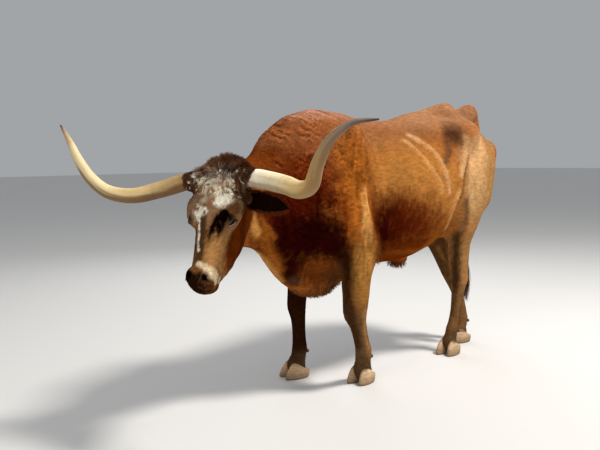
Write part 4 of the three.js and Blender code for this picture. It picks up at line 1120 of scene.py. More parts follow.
class Markings:
    """The coat's colour at any place, the same for the skin and for each tuft."""

    @staticmethod
    def spread(points: Array, mark: object) -> Array:
        """A mark's reach at each place, 1 at its edge and less inside."""
        if isinstance(mark, Streak):
            return np.min([along_path(points, path)[0] for path in placed(mark.path, mark.where)],
                          axis=0) / (mark.width * MM)
        local = points
        if mark.where in (Frame.HEAD, Frame.BOTH_CHEEKS):
            local = HEAD.into(points)
        place = np.array(mark.place, float) * MM
        if mark.where is Frame.MIRRORED:
            local = np.column_stack([np.abs(local[:, 0]), local[:, 1:]])
        if mark.where is Frame.BOTH_CHEEKS:
            local = np.column_stack([local[:, 0], np.abs(local[:, 1]), local[:, 2]])
        return np.sqrt((((local - place) / (np.array(mark.sizes) * MM)) ** 2).sum(1))

    @staticmethod
    def shoulder(points: Array) -> Array:
        """How much the hair parts in upright ridges: most over shoulder and forearm."""
        x, y, z = points.T
        beside = smoothstep(0.30, 0.05, np.abs(y + 0.03))
        return beside * smoothstep(0.50, 0.70, z) * smoothstep(0.12, 0.2, np.abs(x))

    def paint(self, points: Array) -> Array:
        """Linear colours.

        Args:
            points: places on the skin in the animal's frame, metres.

        Returns:
            One colour a place.
        """
        tone = np.tile(Tint.RUSSET.light, (len(points), 1))
        broad = cloud(points, 0.07, 3)
        close = cloud(points * [1.5, 1.5, 0.6], 0.018, 5, 2)
        crisp = cloud(HEAD.into(points) * [0.6, 1.2, 1.0], 0.0105, 13, 2)
        forward = points[:, 1] < -0.6
        for mark in MARKS:
            facial = mark.where in (Frame.HEAD, Frame.BOTH_CHEEKS)
            chosen = forward if facial else np.ones(len(points), bool)
            edge = self.spread(points[chosen], mark)
            edge += mark.ragged * (0.6 * broad[chosen] + (1.7 * crisp if facial else 0.7 * close)[chosen])
            weight = mark.strength * smoothstep(1 + mark.soft, 1 - mark.soft, edge)
            tone[chosen] += (mark.tint.light - tone[chosen]) * weight[:, None]
        # Random tone, and painted light and shade: rows of curls on hump and neck and upright ridges of
        # hair over shoulder and forearm, lighter and darker
        shade = 1 + 0.16 * broad + 0.12 * close + 0.8 * mane(points) * curls(points)
        shade += 0.9 * self.shoulder(points) * cloud(points * [1.6, 1.6, 0.35], 0.024, 41)
        return np.clip(tone * shade[:, None], 0.001, 0.95)


def mane(points: Array) -> Array:
    """How curled the hair is: from 0 behind the hump to 1 on the neck."""
    y, z = points.T[1:]
    return smoothstep(0.2, -0.42, y) ** 0.7 * smoothstep(0.72, 0.95, z) * smoothstep(-0.62, -0.5, y)


def curls(points: Array) -> Array:
    """Rows of curls: a sine across the rows, bent by noise and broken into patches by more of it."""
    across = dot(points, np.array([0.1, 0.4, 0.9])) / 0.029
    patches = smoothstep(-0.3, 0.25, noise(points, 0.045, 23))
    return patches * np.sin(2 * np.pi * (across + 1.3 * cloud(points, 0.075, 21)))


def lie_of_hair(points: Array, normals: Array) -> Array:
    """The way the hair lies: back over the trunk, down the legs and down the face.

    Args:
        points: places on the skin, animal's frame.
        normals: the skin's directions there.

    Returns:
        Directions of length one in the skin.
    """
    x, y, z = points.T
    flow = np.tile([0.0, 1.0, -0.35], (len(points), 1))

    def turn_to(direction: Sequence[float], weight: Array) -> None:
        """Mixes another direction in."""
        flow[:] += (np.asarray(direction) - flow) * weight[:, None]

    turn_to([0.0, 0.35, -1.0], smoothstep(0.85, 1.15, y))
    turn_to([-0.25, 0.6, -0.8], smoothstep(-0.2, -0.5, y))
    legs = np.maximum(smoothstep(0.14, 0.2, np.abs(x)), smoothstep(0.8, 0.95, y))
    turn_to([0.0, 0.1, -1.0], smoothstep(0.95, 0.7, z) * legs)
    turn_to([0.0, 0.05, -1.0], smoothstep(1.34, 1.37, y))
    local = HEAD.into(points)
    facial = smoothstep(-0.03, 0.05, local[:, 0]) * smoothstep(-0.62, -0.72, y)
    sideways = np.sign(local[:, 1]) * smoothstep(0.0, 0.08, np.abs(local[:, 1]))
    face = np.column_stack([np.full(len(points), 0.8), 0.5 * sideways, np.zeros(len(points))])
    cheek = smoothstep(-0.09, -0.16, local[:, 2])
    face = face * (1 - cheek[:, None]) + cheek[:, None] * np.array([-0.5, 0.0, -0.7])
    face = HEAD.turn(face)
    flow += (face - flow) * facial[:, None]
    flow -= normals * dot(flow, normals)[:, None]
    return unit(flow)


# The skin


class Skin:
    """One closed skin over torso, neck, head, legs and tail.

    Its grid has a pitch, a lowest and a highest corner, and it lies at a depth under the flesh's
    surface, all in metres.
    """

    CELL = 0.0136
    LOW = (-0.42, -1.36, -0.03)
    HIGH = (0.56, 1.46, 1.62)
    DEPTH = 0.003
    NODES = ("torso", "neck", "head", "foreleg_left", "foreleg_right", "hindleg_left", "hindleg_right",
             "tail")

    def __init__(self, body: Body, relief: Relief, markings: Markings) -> None:
        """Keeps the body it covers, its relief and its markings."""
        self.body = body
        self.relief = relief
        self.markings = markings

    def build(self) -> bpy.types.Object:
        """Makes the skin's object."""
        places, squares = surface_nets(self.body, np.array(self.LOW), np.array(self.HIGH), self.CELL)
        mesh = mesh_from("skin", places, squares)
        self.refine(mesh)
        places = self.body.settle(corners_of(mesh), self.DEPTH)
        put_corners(mesh, places)
        places += normals_of(mesh) * self.relief.lift(places)[:, None]
        put_corners(mesh, places)
        self.places = places
        self.normals = normals_of(mesh)
        mesh.calc_loop_triangles()
        corners = np.empty(len(mesh.loop_triangles) * 3, np.int32)
        mesh.loop_triangles.foreach_get("vertices", corners)
        self.triangles = corners.reshape(-1, 3)
        self.maps = unwrap(self.places[self.triangles])
        store_colour(mesh, self.markings.paint(places))
        put_corners(mesh, places + SHIFT)
        log.info("skin: %d corners, %d triangles", len(places), len(self.triangles))
        return finished("skin", mesh)

    @staticmethod
    def refine(mesh: bpy.types.Mesh) -> None:
        """Halves the squares over head, legs and tail, and again over eyes and muzzle."""

        def halve(fine: Array) -> None:
            """Cuts every edge whose two ends are chosen."""
            bm = bmesh.new()
            bm.from_mesh(mesh)
            edges = [e for e in bm.edges if fine[e.verts[0].index] and fine[e.verts[1].index]]
            bmesh.ops.subdivide_edges(bm, edges=edges, cuts=1, use_grid_fill=True)
            bm.to_mesh(mesh)
            bm.free()

        places = corners_of(mesh)
        halve(on_head(places, behind=-0.08) | (places[:, 2] < 0.64) | (places[:, 1] > 1.32))
        places = corners_of(mesh)
        a, b, c = HEAD.into(places).T
        eyes = (a > 0.19) & (a < 0.30) & (np.abs(b) > 0.066) & (c > -0.09)
        halve((places[:, 1] < -0.7) & (eyes | (a > 0.43)))

    def measured(self) -> tuple:
        """The middle and the area of each triangle."""
        corners = self.places[self.triangles]
        sides = np.cross(corners[:, 1] - corners[:, 0], corners[:, 2] - corners[:, 0])
        return corners.mean(1), 0.5 * np.sqrt((sides**2).sum(1))

    def sow(self, wanted: Array, count: int, random: np.random.Generator) -> tuple:
        """Strews places over the triangles.

        Args:
            wanted: how many each triangle asks for, on any scale.
            count: how many there are in all.
            random: the draws.

        Returns:
            Places, directions out of the skin and map places.
        """
        edges = np.cumsum(wanted)
        chosen = np.searchsorted(edges, random.random(count) * edges[-1])
        chosen = np.minimum(chosen, len(wanted) - 1)
        u, v = random.random((2, count))
        over = u + v > 1
        u[over], v[over] = 1 - u[over], 1 - v[over]
        share = np.column_stack([1 - u - v, u, v])[..., None]
        corners = self.triangles[chosen]
        out = unit((self.normals[corners] * share).sum(1))
        return (self.places[corners] * share).sum(1), out, (self.maps[chosen] * share).sum(1)


def put_corners(mesh: bpy.types.Mesh, places: Array) -> None:
    """Moves a mesh's corners to new places."""
    mesh.vertices.foreach_set("co", places.astype(np.float32).ravel())
    mesh.update()


def store_colour(mesh: bpy.types.Mesh, colours: Array) -> None:
    """Keeps one linear colour a corner, for the finishes to read."""
    layer = mesh.color_attributes.new("tone", "FLOAT_COLOR", "POINT")
    full = np.ones((len(colours), 4), np.float32)
    full[:, :3] = colours
    layer.data.foreach_set("color", full.ravel())


def linked(name: str, data: bpy.types.ID) -> bpy.types.Object:
    """A new object of some data, in the scene."""
    thing = bpy.data.objects.new(name, data)
    bpy.context.scene.collection.objects.link(thing)
    return thing


def finished(name: str, mesh: bpy.types.Mesh) -> bpy.types.Object:
    """An object with smooth faces from a finished mesh."""
    mesh.polygons.foreach_set("use_smooth", np.ones(len(mesh.polygons), bool))
    mesh.update()
    return linked(name, mesh)


# The map's tiles: left edge, lower edge, width and height
TILES = ((0, 0, 1, 0.44), (0, 0.45, 0.5, 0.3), (0, 0.76, 0.18, 0.23), (0.2, 0.76, 0.18, 0.23),
         (0.4, 0.76, 0.18, 0.23), (0.6, 0.76, 0.18, 0.23), (0.8, 0.76, 0.18, 0.23))


def unwrap(corners: Array) -> Array:
    """Map places of the skin's triangles, in seven tiles: trunk, head, four legs and tail.

    Along a tile's first side runs the angle round the part's middle line, and along its second
    the way along the part. For the trunk it is the other way round. A triangle across the seam
    has its low angles raised by one turn.

    Args:
        corners: places of each triangle's three corners, animal's frame.

    Returns:
        Two numbers for each corner of each triangle.
    """
    middle = corners.mean(1)
    x, y, z = middle.T
    part = np.zeros(len(middle), int)
    part[on_head(middle, -0.08, -0.69)] = 1
    part[(z < 0.66) & (y < 0.4) & (x > 0.11)] = 2
    part[(z < 0.66) & (y < 0.4) & (x < -0.11)] = 3
    part[(z < 0.77) & (y > 0.8) & (x > 0)] = 4
    part[(z < 0.77) & (y > 0.8) & (x <= 0)] = 5
    away = along_path(middle, np.array(TAIL)[:, :3] * MM)[0]
    part[(away < 0.05) & (y > 1.17)] = 6
    tables = (FORELEG["left"], FORELEG["right"], HINDLEG["left"], HINDLEG["right"], TAIL)
    out = np.zeros((len(middle), 3, 2))
    for number, (left, low, wide, high) in enumerate(TILES):
        chosen = part == number
        p = corners[chosen]
        if number == 0:
            stations = np.array([-0.75, -0.5, -0.25, 0.1, 1.0, 1.45])
            cx = np.interp(p[..., 1], stations, [0.16, 0.08, 0.01, 0, 0, 0])
            cz = np.interp(p[..., 1], stations, [1.04, 1.03, 1.05, 1.0, 1.2, 1.3])
            turn = np.arctan2(p[..., 0] - cx, p[..., 2] - cz)
            way = (p[..., 1] + 0.95) / 2.45
        elif number == 1:
            q = HEAD.into(p)
            turn = np.arctan2(q[..., 1], q[..., 2] + 0.1)
            way = (q[..., 0] + 0.12) / 0.72
        else:
            rows = np.array(sorted(tables[number - 2], key=lambda row: row[2])) * MM
            cx = np.interp(p[..., 2], rows[:, 2], rows[:, 0])
            cy = np.interp(p[..., 2], rows[:, 2], rows[:, 1])
            turn = np.arctan2(p[..., 0] - cx, p[..., 1] - cy)
            way = p[..., 2] / (1.6 if number == 6 else 0.8)
        turn = turn / (2 * np.pi) + 0.5
        wraps = turn.max(1) - turn.min(1) > 0.5
        turn = turn + (wraps[:, None] & (turn < 0.5))
        way = np.clip(way, 0, 1)
        if number == 0:
            pair = (0.02 + 0.96 * way, 0.02 + 0.94 * turn)
        else:
            pair = (0.02 + 0.94 * turn, 0.02 + 0.94 * way)
        out[chosen] = np.stack([left + wide * pair[0], low + high * pair[1]], -1)
    return out


# Hair: thin, tapering blades grown in one sweep of whole arrays


@dataclass
class Roots:
    """Where hairs stand: place, direction out of the skin, lie, colour and map place."""

    place: Array
    out: Array
    lie: Array
    tone: Array
    flat: Array

    def where(self, chosen: Array) -> "Roots":
        """Only the chosen ones."""
        kept = (self.place, self.out, self.lie, self.tone, self.flat)
        return Roots(*[values[chosen] for values in kept])

    def __len__(self) -> int:
        """How many there are."""
        return len(self.place)


@dataclass
class Blades:
    """The make of a batch of blades, each value one number or one a blade, lengths in metres."""

    length: Array
    width: Array
    lift: Array = 0.25
    settle: float = 0.8
    bend: Array = 0.0
    wave: Array = 0.0
    crimp: float = 1.0
    rows: int = 3
    sink: float = 0.0015
    tip: float = 1.0


# How far a blade's corners spread on the map
MAP_SPREAD = 0.003


def grow(roots: Roots, make: Blades) -> dict:
    """Corners, faces, colours and map places of a batch of blades.

    A blade is a ribbon of some rows that narrows to a point. At share t of its length it has
    gone t along the lie, rises by lift times t less settle times t squared, swings aside by bend
    times t squared, and waves by a sine of t.

    Args:
        roots: where the blades stand.
        make: their sizes and shapes.

    Returns:
        Arrays by name.
    """
    count = len(roots)
    t = np.linspace(0, 1, make.rows)
    length, width, lift, bend, wave = [
        np.broadcast_to(values, count)[:, None] for values in (make.length, make.width, make.lift,
                                                               make.bend, make.wave)]
    aside = np.cross(roots.out, roots.lie)
    rise = lift * (t - make.settle * t * t)
    swing = bend * t * t + wave * np.sin(2 * np.pi * make.crimp * t) * t**0.5
    ahead = t * np.sqrt(np.maximum(1 - 0.5 * (swing[:, -1:] ** 2), 0.3))
    middle = (roots.place - roots.out * make.sink)[:, None, :] + length[..., None] * (
        ahead[..., None] * roots.lie[:, None, :] + rise[..., None] * roots.out[:, None, :]
        + swing[..., None] * aside[:, None, :])
    profile = np.where(t < 1, (0.75 + 0.5 * t) * np.sqrt(np.maximum(1 - t**2.2, 0)), 0)
    half = 0.5 * width * profile
    left = middle + half[..., None] * aside[:, None, :]
    right = middle - half[..., None] * aside[:, None, :]
    pairs = np.stack([left[:, :-1], right[:, :-1]], 2).reshape(count, -1, 3)
    corners = np.concatenate([pairs, middle[:, -1:]], 1)
    each = corners.shape[1]
    reached = np.concatenate([np.repeat(t[:-1], 2), [1.0]])
    shade = 1 + (make.tip - 1) * reached
    colours = roots.tone[:, None, :] * shade[None, :, None]
    sides = np.concatenate([np.tile([0.5, -0.5], make.rows - 1), [0.0]])
    flat = roots.flat[:, None, :] + np.stack([sides, reached - 0.5], -1) * MAP_SPREAD
    last = 2 * (make.rows - 2)
    squares = [n + i for i in range(0, last, 2) for n in (0, 1, 3, 2)]
    order = np.array(squares + [last, last + 1, last + 2])
    sizes = np.array([4] * (make.rows - 2) + [3])
    loops = (np.arange(count)[:, None] * each + order).ravel()
    return {
        "corners": corners.reshape(-1, 3), "loops": loops, "sizes": np.tile(sizes, count),
        "colours": colours.reshape(-1, 3), "flat": flat.reshape(-1, 2),
    }


def hair_object(name: str, batches: Sequence[dict]) -> bpy.types.Object:
    """One object from batches of blades, with its colours and its map."""
    start = np.cumsum([0] + [len(b["corners"]) for b in batches[:-1]])
    loops = np.concatenate([b["loops"] + s for b, s in zip(batches, start)])
    corners, sizes, colours, flat = [
        np.concatenate([b[key] for b in batches]) for key in ("corners", "sizes", "colours", "flat")]
    corners = corners + SHIFT
    mesh = bpy.data.meshes.new(name)
    mesh.vertices.add(len(corners))
    mesh.vertices.foreach_set("co", corners.astype(np.float32).ravel())
    mesh.loops.add(len(loops))
    mesh.loops.foreach_set("vertex_index", loops.astype(np.int32))
    mesh.polygons.add(len(sizes))
    mesh.polygons.foreach_set("loop_start", (np.cumsum(sizes) - sizes).astype(np.int32))
    mesh.update(calc_edges=True)
    layer = mesh.uv_layers.new(name="OFBake")
    layer.data.foreach_set("uv", flat[loops].astype(np.float32).ravel())
    store_colour(mesh, np.clip(colours, 0.001, 1.0))
    log.info("%s: %d triangles", name, int((sizes - 2).sum()))
    return finished(name, mesh)


class Region(Enum):
    """Parts of the short coat, each an object of its own."""

    HEAD = "coat_head"
    NECK_LEFT = "coat_neck_left"
    NECK_RIGHT = "coat_neck_right"
    BARREL_LEFT = "coat_barrel_left"
    BARREL_RIGHT = "coat_barrel_right"
    HAUNCH = "coat_haunch"
    LEGS = "coat_legs"


@dataclass
class Coat:
    """Short hair over the whole skin, longer and curled on hump, neck and forehead.

    Densities are tufts to the square metre, and a blade is thin and a slim share of its length
    wide. Legs begin below leg_top, and hooves and the room round an eye stay bare.
    """

    skin: Skin
    seed: int = 5
    trunk_density: float = 34000.0
    leg_density: float = 52000.0
    face_density: float = 120000.0
    jitter: float = 0.22
    most: int = 65000
    slim: float = 0.15
    thin: float = 0.0005
    leg_top: float = 0.68
    hoof_top: float = 0.045
    eye_room: float = 0.027

    def scatter(self) -> Roots:
        """Roots spread over the skin's triangles, as many to the square metre as each part asks."""
        middle, area = self.skin.measured()
        wanted = area * self.density(middle)
        place, out, flat = self.skin.sow(wanted, int(wanted.sum()), np.random.default_rng(self.seed))
        return Roots(place, out, lie_of_hair(place, out), self.skin.markings.paint(place), flat)

    def density(self, points: Array) -> Array:
        """Tufts to the square metre."""
        local = HEAD.into(points)
        head = on_head(points)
        value = np.full(len(points), self.trunk_density)
        value[points[:, 2] < self.leg_top] = self.leg_density
        value[head] = self.face_density
        value[head & (local[:, 0] < 0.2)] = 0.6 * self.face_density
        value[head & (local[:, 0] > 0.475) & (local[:, 2] > -0.135)] = 0.0
        value[points[:, 2] < self.hoof_top] = 0.0
        for site in self.skin.body.eyes.values():
            away = points - site.middle - site.facing * (EYE_RADIUS * MM)
            value[np.sqrt((away**2).sum(1)) < self.eye_room] = 0.0
        return value

    @staticmethod
    def region(points: Array) -> Array:
        """The number of the region that each place belongs to."""
        x, y, z = points.T
        names = list(Region)
        part = np.where(x > 0, names.index(Region.BARREL_LEFT), names.index(Region.BARREL_RIGHT))
        part = np.where(y > 0.82, names.index(Region.HAUNCH), part)
        neck = np.where(x > 0.02, names.index(Region.NECK_LEFT), names.index(Region.NECK_RIGHT))
        part = np.where(y < 0.02, neck, part)
        part = np.where(z < 0.62, names.index(Region.LEGS), part)
        return np.where(on_head(points), names.index(Region.HEAD), part)

    def build(self) -> None:
        """Grows the coat, one object a region."""
        roots = self.scatter()
        random = np.random.default_rng(self.seed + 1)
        count = len(roots)
        local = HEAD.into(roots.place)
        head = on_head(roots.place)
        hump = mane(roots.place)
        brow = head * smoothstep(0.21, 0.15, local[:, 0]) * smoothstep(-0.12, -0.05, local[:, 2])
        legs = smoothstep(0.75, 0.55, roots.place[:, 2])
        length = 0.016 + 0.002 * hump - 0.006 * legs
        length = np.where(head, 0.0085 + 0.012 * brow, length)
        length = length * random.uniform(0.7, 1.25, count)
        waves = curls(roots.place)
        curl = hump + brow
        swirl = 0.35 * cloud(roots.place, 0.08, 31) + 0.5 * curl * waves
        swirl += 0.9 * brow * noise(roots.place, 0.03, 8)
        swirl += random.normal(0, self.jitter, count)
        aside = np.cross(roots.out, roots.lie)
        roots.lie = unit(roots.lie * np.cos(swirl)[:, None] + aside * np.sin(swirl)[:, None])
        lift = random.uniform(0.12, 0.34, count) + 0.4 * hump * (0.5 + 0.5 * waves) + 0.3 * brow
        lift = np.where(head & (brow < 0.2), 0.16, lift)
        clump = noise(roots.place * [1.6, 1.6, 0.6], 0.015, 77)
        shade = random.lognormal(0, 0.15, count) * (1 + 0.16 * clump * ~head)
        roots.tone = roots.tone * shade[:, None]
        parts = self.region(roots.place)
        for number, region in enumerate(Region):
            chosen = np.flatnonzero(parts == number)[:self.most]
            long = length[chosen]
            blades = Blades(long, long * self.slim + self.thin, lift[chosen],
                            bend=random.normal(0, 0.22, len(chosen)), wave=0.10 * curl[chosen], tip=1.12)
            thing = hair_object(region.value, [grow(roots.where(chosen), blades)])
            dress(thing, "coat" if region is not Region.HEAD else "face", HAIR)


@dataclass
class Fringe:
    """Long hair at one place of the skin: its bounds, its length and the way it goes."""

    name: str
    slot: str
    count: int
    length: float
    width: float
    rows: int
    seed: int
    tint: Tint
    chosen: Callable
    way: Callable
    lift: float = 0.3
    settle: float = 1.0
    clump: float = 0.5
    spread: float = 0.16
    own_colour: float = 0.8

    def build(self, skin: Skin) -> bpy.types.Object:
        """Grows the fringe from the chosen part of the skin."""
        random = np.random.default_rng(self.seed)
        middle, area = skin.measured()
        place, out, flat = skin.sow(area * self.chosen(middle), self.count, random)
        way = self.way(place, out)
        swirl = self.clump * np.column_stack([noise(place, 0.02, self.seed + k) for k in range(3)])
        way = unit(unit(way) + swirl + random.normal(0, self.spread, (self.count, 3)))
        across = unit(np.cross(way, out + 0.01))
        raised = unit(np.cross(across, way))
        tone = skin.markings.paint(place)
        tone += (self.tint.light - tone) * self.own_colour
        tone *= random.lognormal(0, 0.22, self.count)[:, None]
        length = self.length * random.uniform(0.6, 1.1, self.count)
        bend = random.normal(0, 0.12, self.count)
        blades = Blades(length, self.width, self.lift, self.settle, bend, wave=0.03, rows=self.rows,
                        sink=0.004, tip=1.15)
        thing = hair_object(self.name, [grow(Roots(place, raised, way, tone, flat), blades)])
        dress(thing, self.slot, HAIR)
        return thing


def poll_hair(points: Array) -> Array:
    """Where the tuft between the horns grows."""
    a, b, c = HEAD.into(points).T
    chosen = (points[:, 1] < -0.6) & (a > -0.12) & (a < 0.035) & (np.abs(b) < 0.115) & (c > -0.12)
    return chosen.astype(float)


def poll_way(points: Array, out: Array) -> Array:
    """The tuft stands up and fans out, and its front falls over the forehead."""
    a, b = HEAD.into(points).T[:2]
    one = np.ones(len(points))
    up = HEAD.turn(np.column_stack([-0.8 * one, 14.0 * b, 0.35 * one]))
    down = HEAD.turn(np.column_stack([0.9 * one, 9.0 * b, 0.3 * one]))
    return up + (down - up) * smoothstep(0.0, 0.03, a)[:, None] + 0.4 * out


FRINGES = (
    Fringe("poll_tuft", "face", 5200, 0.036, 0.0022, 6, 41, Tint.TUFT, poll_hair, poll_way,
           0.15, 1.3, 0.6, 0.18),
    Fringe("brisket_hair", "coat", 1800, 0.020, 0.0020, 4, 43, Tint.DARK_BROWN,
           lambda p: ((p[:, 2] < 0.56) & (np.abs(p[:, 0]) < 0.10) & (p[:, 1] < 0.12)).astype(float),
           lambda p, n: np.array([0.0, 0.35, -1.0]) + 0.3 * n, 0.1, 1.0, 0.4, 0.14, 0.5),
    Fringe("coronet_hair", "coat", 4200, 0.019, 0.0020, 4, 59, Tint.FETLOCK,
           lambda p: ((p[:, 2] > 0.06) & (p[:, 2] < 0.125)).astype(float),
           lambda p, n: np.array([0.0, 0.0, -1.0]) + 0.45 * n * [1.0, 1.0, 0.0], 0.1, 1.2, 0.3, 0.10, 0.5),
    Fringe("elbow_hair", "coat", 900, 0.036, 0.0020, 5, 47, Tint.RUST,
           lambda p: ((np.abs(np.abs(p[:, 0]) - 0.245) < 0.07) & (p[:, 1] > 0.10) & (p[:, 1] < 0.24)
                      & (p[:, 2] > 0.68) & (p[:, 2] < 0.80)).astype(float),
           lambda p, n: np.array([0.0, 0.5, -1.0]) + 0.2 * n, 0.1, 1.0, 0.4, 0.14, 0.3),
    Fringe("sheath_hair", "coat", 420, 0.038, 0.0020, 5, 53, Tint.DARK_BROWN,
           lambda p: ((p[:, 2] < 0.622) & (np.abs(p[:, 0]) < 0.04)
                      & (np.abs(p[:, 1] - 0.60) < 0.08)).astype(float),
           lambda p, n: np.array([0.0, -0.3, -1.0]) + 0.1 * n, 0.1, 1.0, 0.4, 0.2, 0.5),
)


@dataclass
class Switch:
    """The long end hair of the tail, in locks that hang and part."""

    locks: int = 34
    strands: int = 46
    length: float = 0.30
    lowest: float = 0.575
    seed: int = 61

    def build(self) -> bpy.types.Object:
        """Grows the switch round the last of the tail."""
        random = np.random.default_rng(self.seed)
        path = smoothed(TAIL, 6)[:, :3] * MM
        count = self.locks * self.strands
        lock = np.repeat(np.arange(self.locks), self.strands)
        height = random.uniform(self.lowest, 0.70, self.locks)[lock] + random.normal(0, 0.01, count)
        height = np.clip(height, self.lowest, 0.72)
        x, y, z = path[np.argsort(path[:, 2])].T
        middle = np.column_stack([np.interp(height, z, x), np.interp(height, z, y), height])
        angle = random.uniform(0, 2 * np.pi, self.locks)[lock] + random.normal(0, 0.25, count)
        out = np.column_stack([np.cos(angle), np.sin(angle), np.zeros(count)])
        flare = random.uniform(0.02, 0.16, self.locks)[lock] + random.normal(0, 0.02, count)
        lie = unit(out * flare[:, None] + np.array([0.0, 0.0, -1.0]))
        raised = unit(out - lie * dot(out, lie)[:, None])
        tone = Tint.DARK_BROWN.light * random.lognormal(0.1, 0.25, self.locks)[lock][:, None]
        tone *= random.lognormal(0, 0.15, count)[:, None]
        flat = np.column_stack([0.85 + 0.1 * angle / (2 * np.pi) % 1.0, 0.8 + 0.1 * lock / self.locks])
        roots = Roots(middle + out * 0.006, raised, lie, tone, np.clip(flat, 0.01, 0.99))
        length = self.length * random.uniform(0.75, 1.05, count)
        bend = random.normal(0, 0.10, self.locks)[lock] + random.normal(0, 0.03, count)
        wave = random.normal(0, 0.03, self.locks)[lock]
        blades = Blades(length, 0.0026, 0.10, 1.3, bend, wave, crimp=1.5, rows=9, tip=0.9)
        switch = hair_object("switch_hair", [grow(roots, blades)])
        dress(switch, "tail", HAIR)
        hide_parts("tail_switch")
        return switch


# Horns, hooves, eyes and ears


def grid_faces(rows: int, columns: int, closed: bool) -> Array:
    """Squares of a grid of points, row after row, its columns joined round where closed."""
    across = columns if closed else columns - 1
    i, j = np.meshgrid(np.arange(rows - 1), np.arange(across), indexing="ij")
    i, j = i.ravel(), j.ravel()
    k = (j + 1) % columns
    low, high = i * columns, (i + 1) * columns
    return np.column_stack([low + j, low + k, high + k, high + j])


def tidy(mesh: bpy.types.Mesh, distance: float) -> None:
    """Merges doubled corners and turns every face outwards."""
    bm = bmesh.new()
    bm.from_mesh(mesh)
    bmesh.ops.remove_doubles(bm, verts=bm.verts, dist=distance)
    bmesh.ops.dissolve_degenerate(bm, dist=1e-7, edges=bm.edges)
    bmesh.ops.recalc_face_normals(bm, faces=bm.faces)
    bm.to_mesh(mesh)
    bm.free()
    mesh.update()


def piece(name: str, mesh: bpy.types.Mesh, slot: str, finish: "Finish", distance: float = 1e-6,
          facing: Sequence[float] = ()) -> bpy.types.Object:
    """A mesh of the animal's frame made tidy, moved to the shared frame and dressed.

    Args:
        name: the object's name.
        mesh: its coloured mesh.
        slot: the name of its slot, which is not used.
        finish: its material.
        distance: how near two corners are that become one.
        facing: where an open mesh faces, if it is one.

    Returns:
        The object.
    """
    tidy(mesh, distance)
    if len(facing) and dot(normals_of(mesh), facing).mean() < 0:
        mesh.flip_normals()
        mesh.update()
    put_corners(mesh, corners_of(mesh) + SHIFT)
    thing = finished(name, mesh)
    dress(thing, slot, finish)
    return thing


def centripetal(points: Array, count: int) -> Array:
    """Evenly spaced places on a centripetal Catmull-Rom curve.

    Between two points the curve is the cubic with their tangents, each weighed by the square
    roots of the gaps beside it, and one point is added past each end in line.

    Args:
        points: the curve's points.
        count: how many places.

    Returns:
        The places.
    """
    p = np.vstack([2 * points[0] - points[1], points, 2 * points[-1] - points[-2]])
    dense = []
    for i in range(1, len(p) - 2):
        x0, x1, x2, x3 = p[i - 1: i + 3]
        d0, d1, d2 = [np.sqrt(np.linalg.norm(b - a)) for a, b in ((x0, x1), (x1, x2), (x2, x3))]
        t1 = ((x1 - x0) / d0 - (x2 - x0) / (d0 + d1) + (x2 - x1) / d1) * d1
        t2 = ((x2 - x1) / d1 - (x3 - x1) / (d1 + d2) + (x3 - x2) / d2) * d1
        t = np.linspace(0, 1, 80, endpoint=i == len(p) - 3)[:, None]
        dense.append(x1 + t1 * t + (-3 * x1 + 3 * x2 - 2 * t1 - t2) * t**2
                     + (2 * x1 - 2 * x2 + t1 + t2) * t**3)
    dense = np.vstack(dense)
    reached = np.concatenate([[0], np.cumsum(np.linalg.norm(dense[1:] - dense[:-1], axis=1))])
    at = np.linspace(0, reached[-1], count)
    return np.column_stack([np.interp(at, reached, dense[:, k]) for k in range(3)])


def carried(path: Array) -> tuple:
    """Two directions across a path at each of its places, carried along without twist."""
    along = unit(np.gradient(path, axis=0))
    across = np.empty_like(path)
    across[0] = unit(np.cross(along[0], [0.3, 0.2, 1.0]))
    for i in range(1, len(path)):
        across[i] = unit(across[i - 1] - along[i] * (across[i - 1] @ along[i]))
    return across, np.cross(along, across)


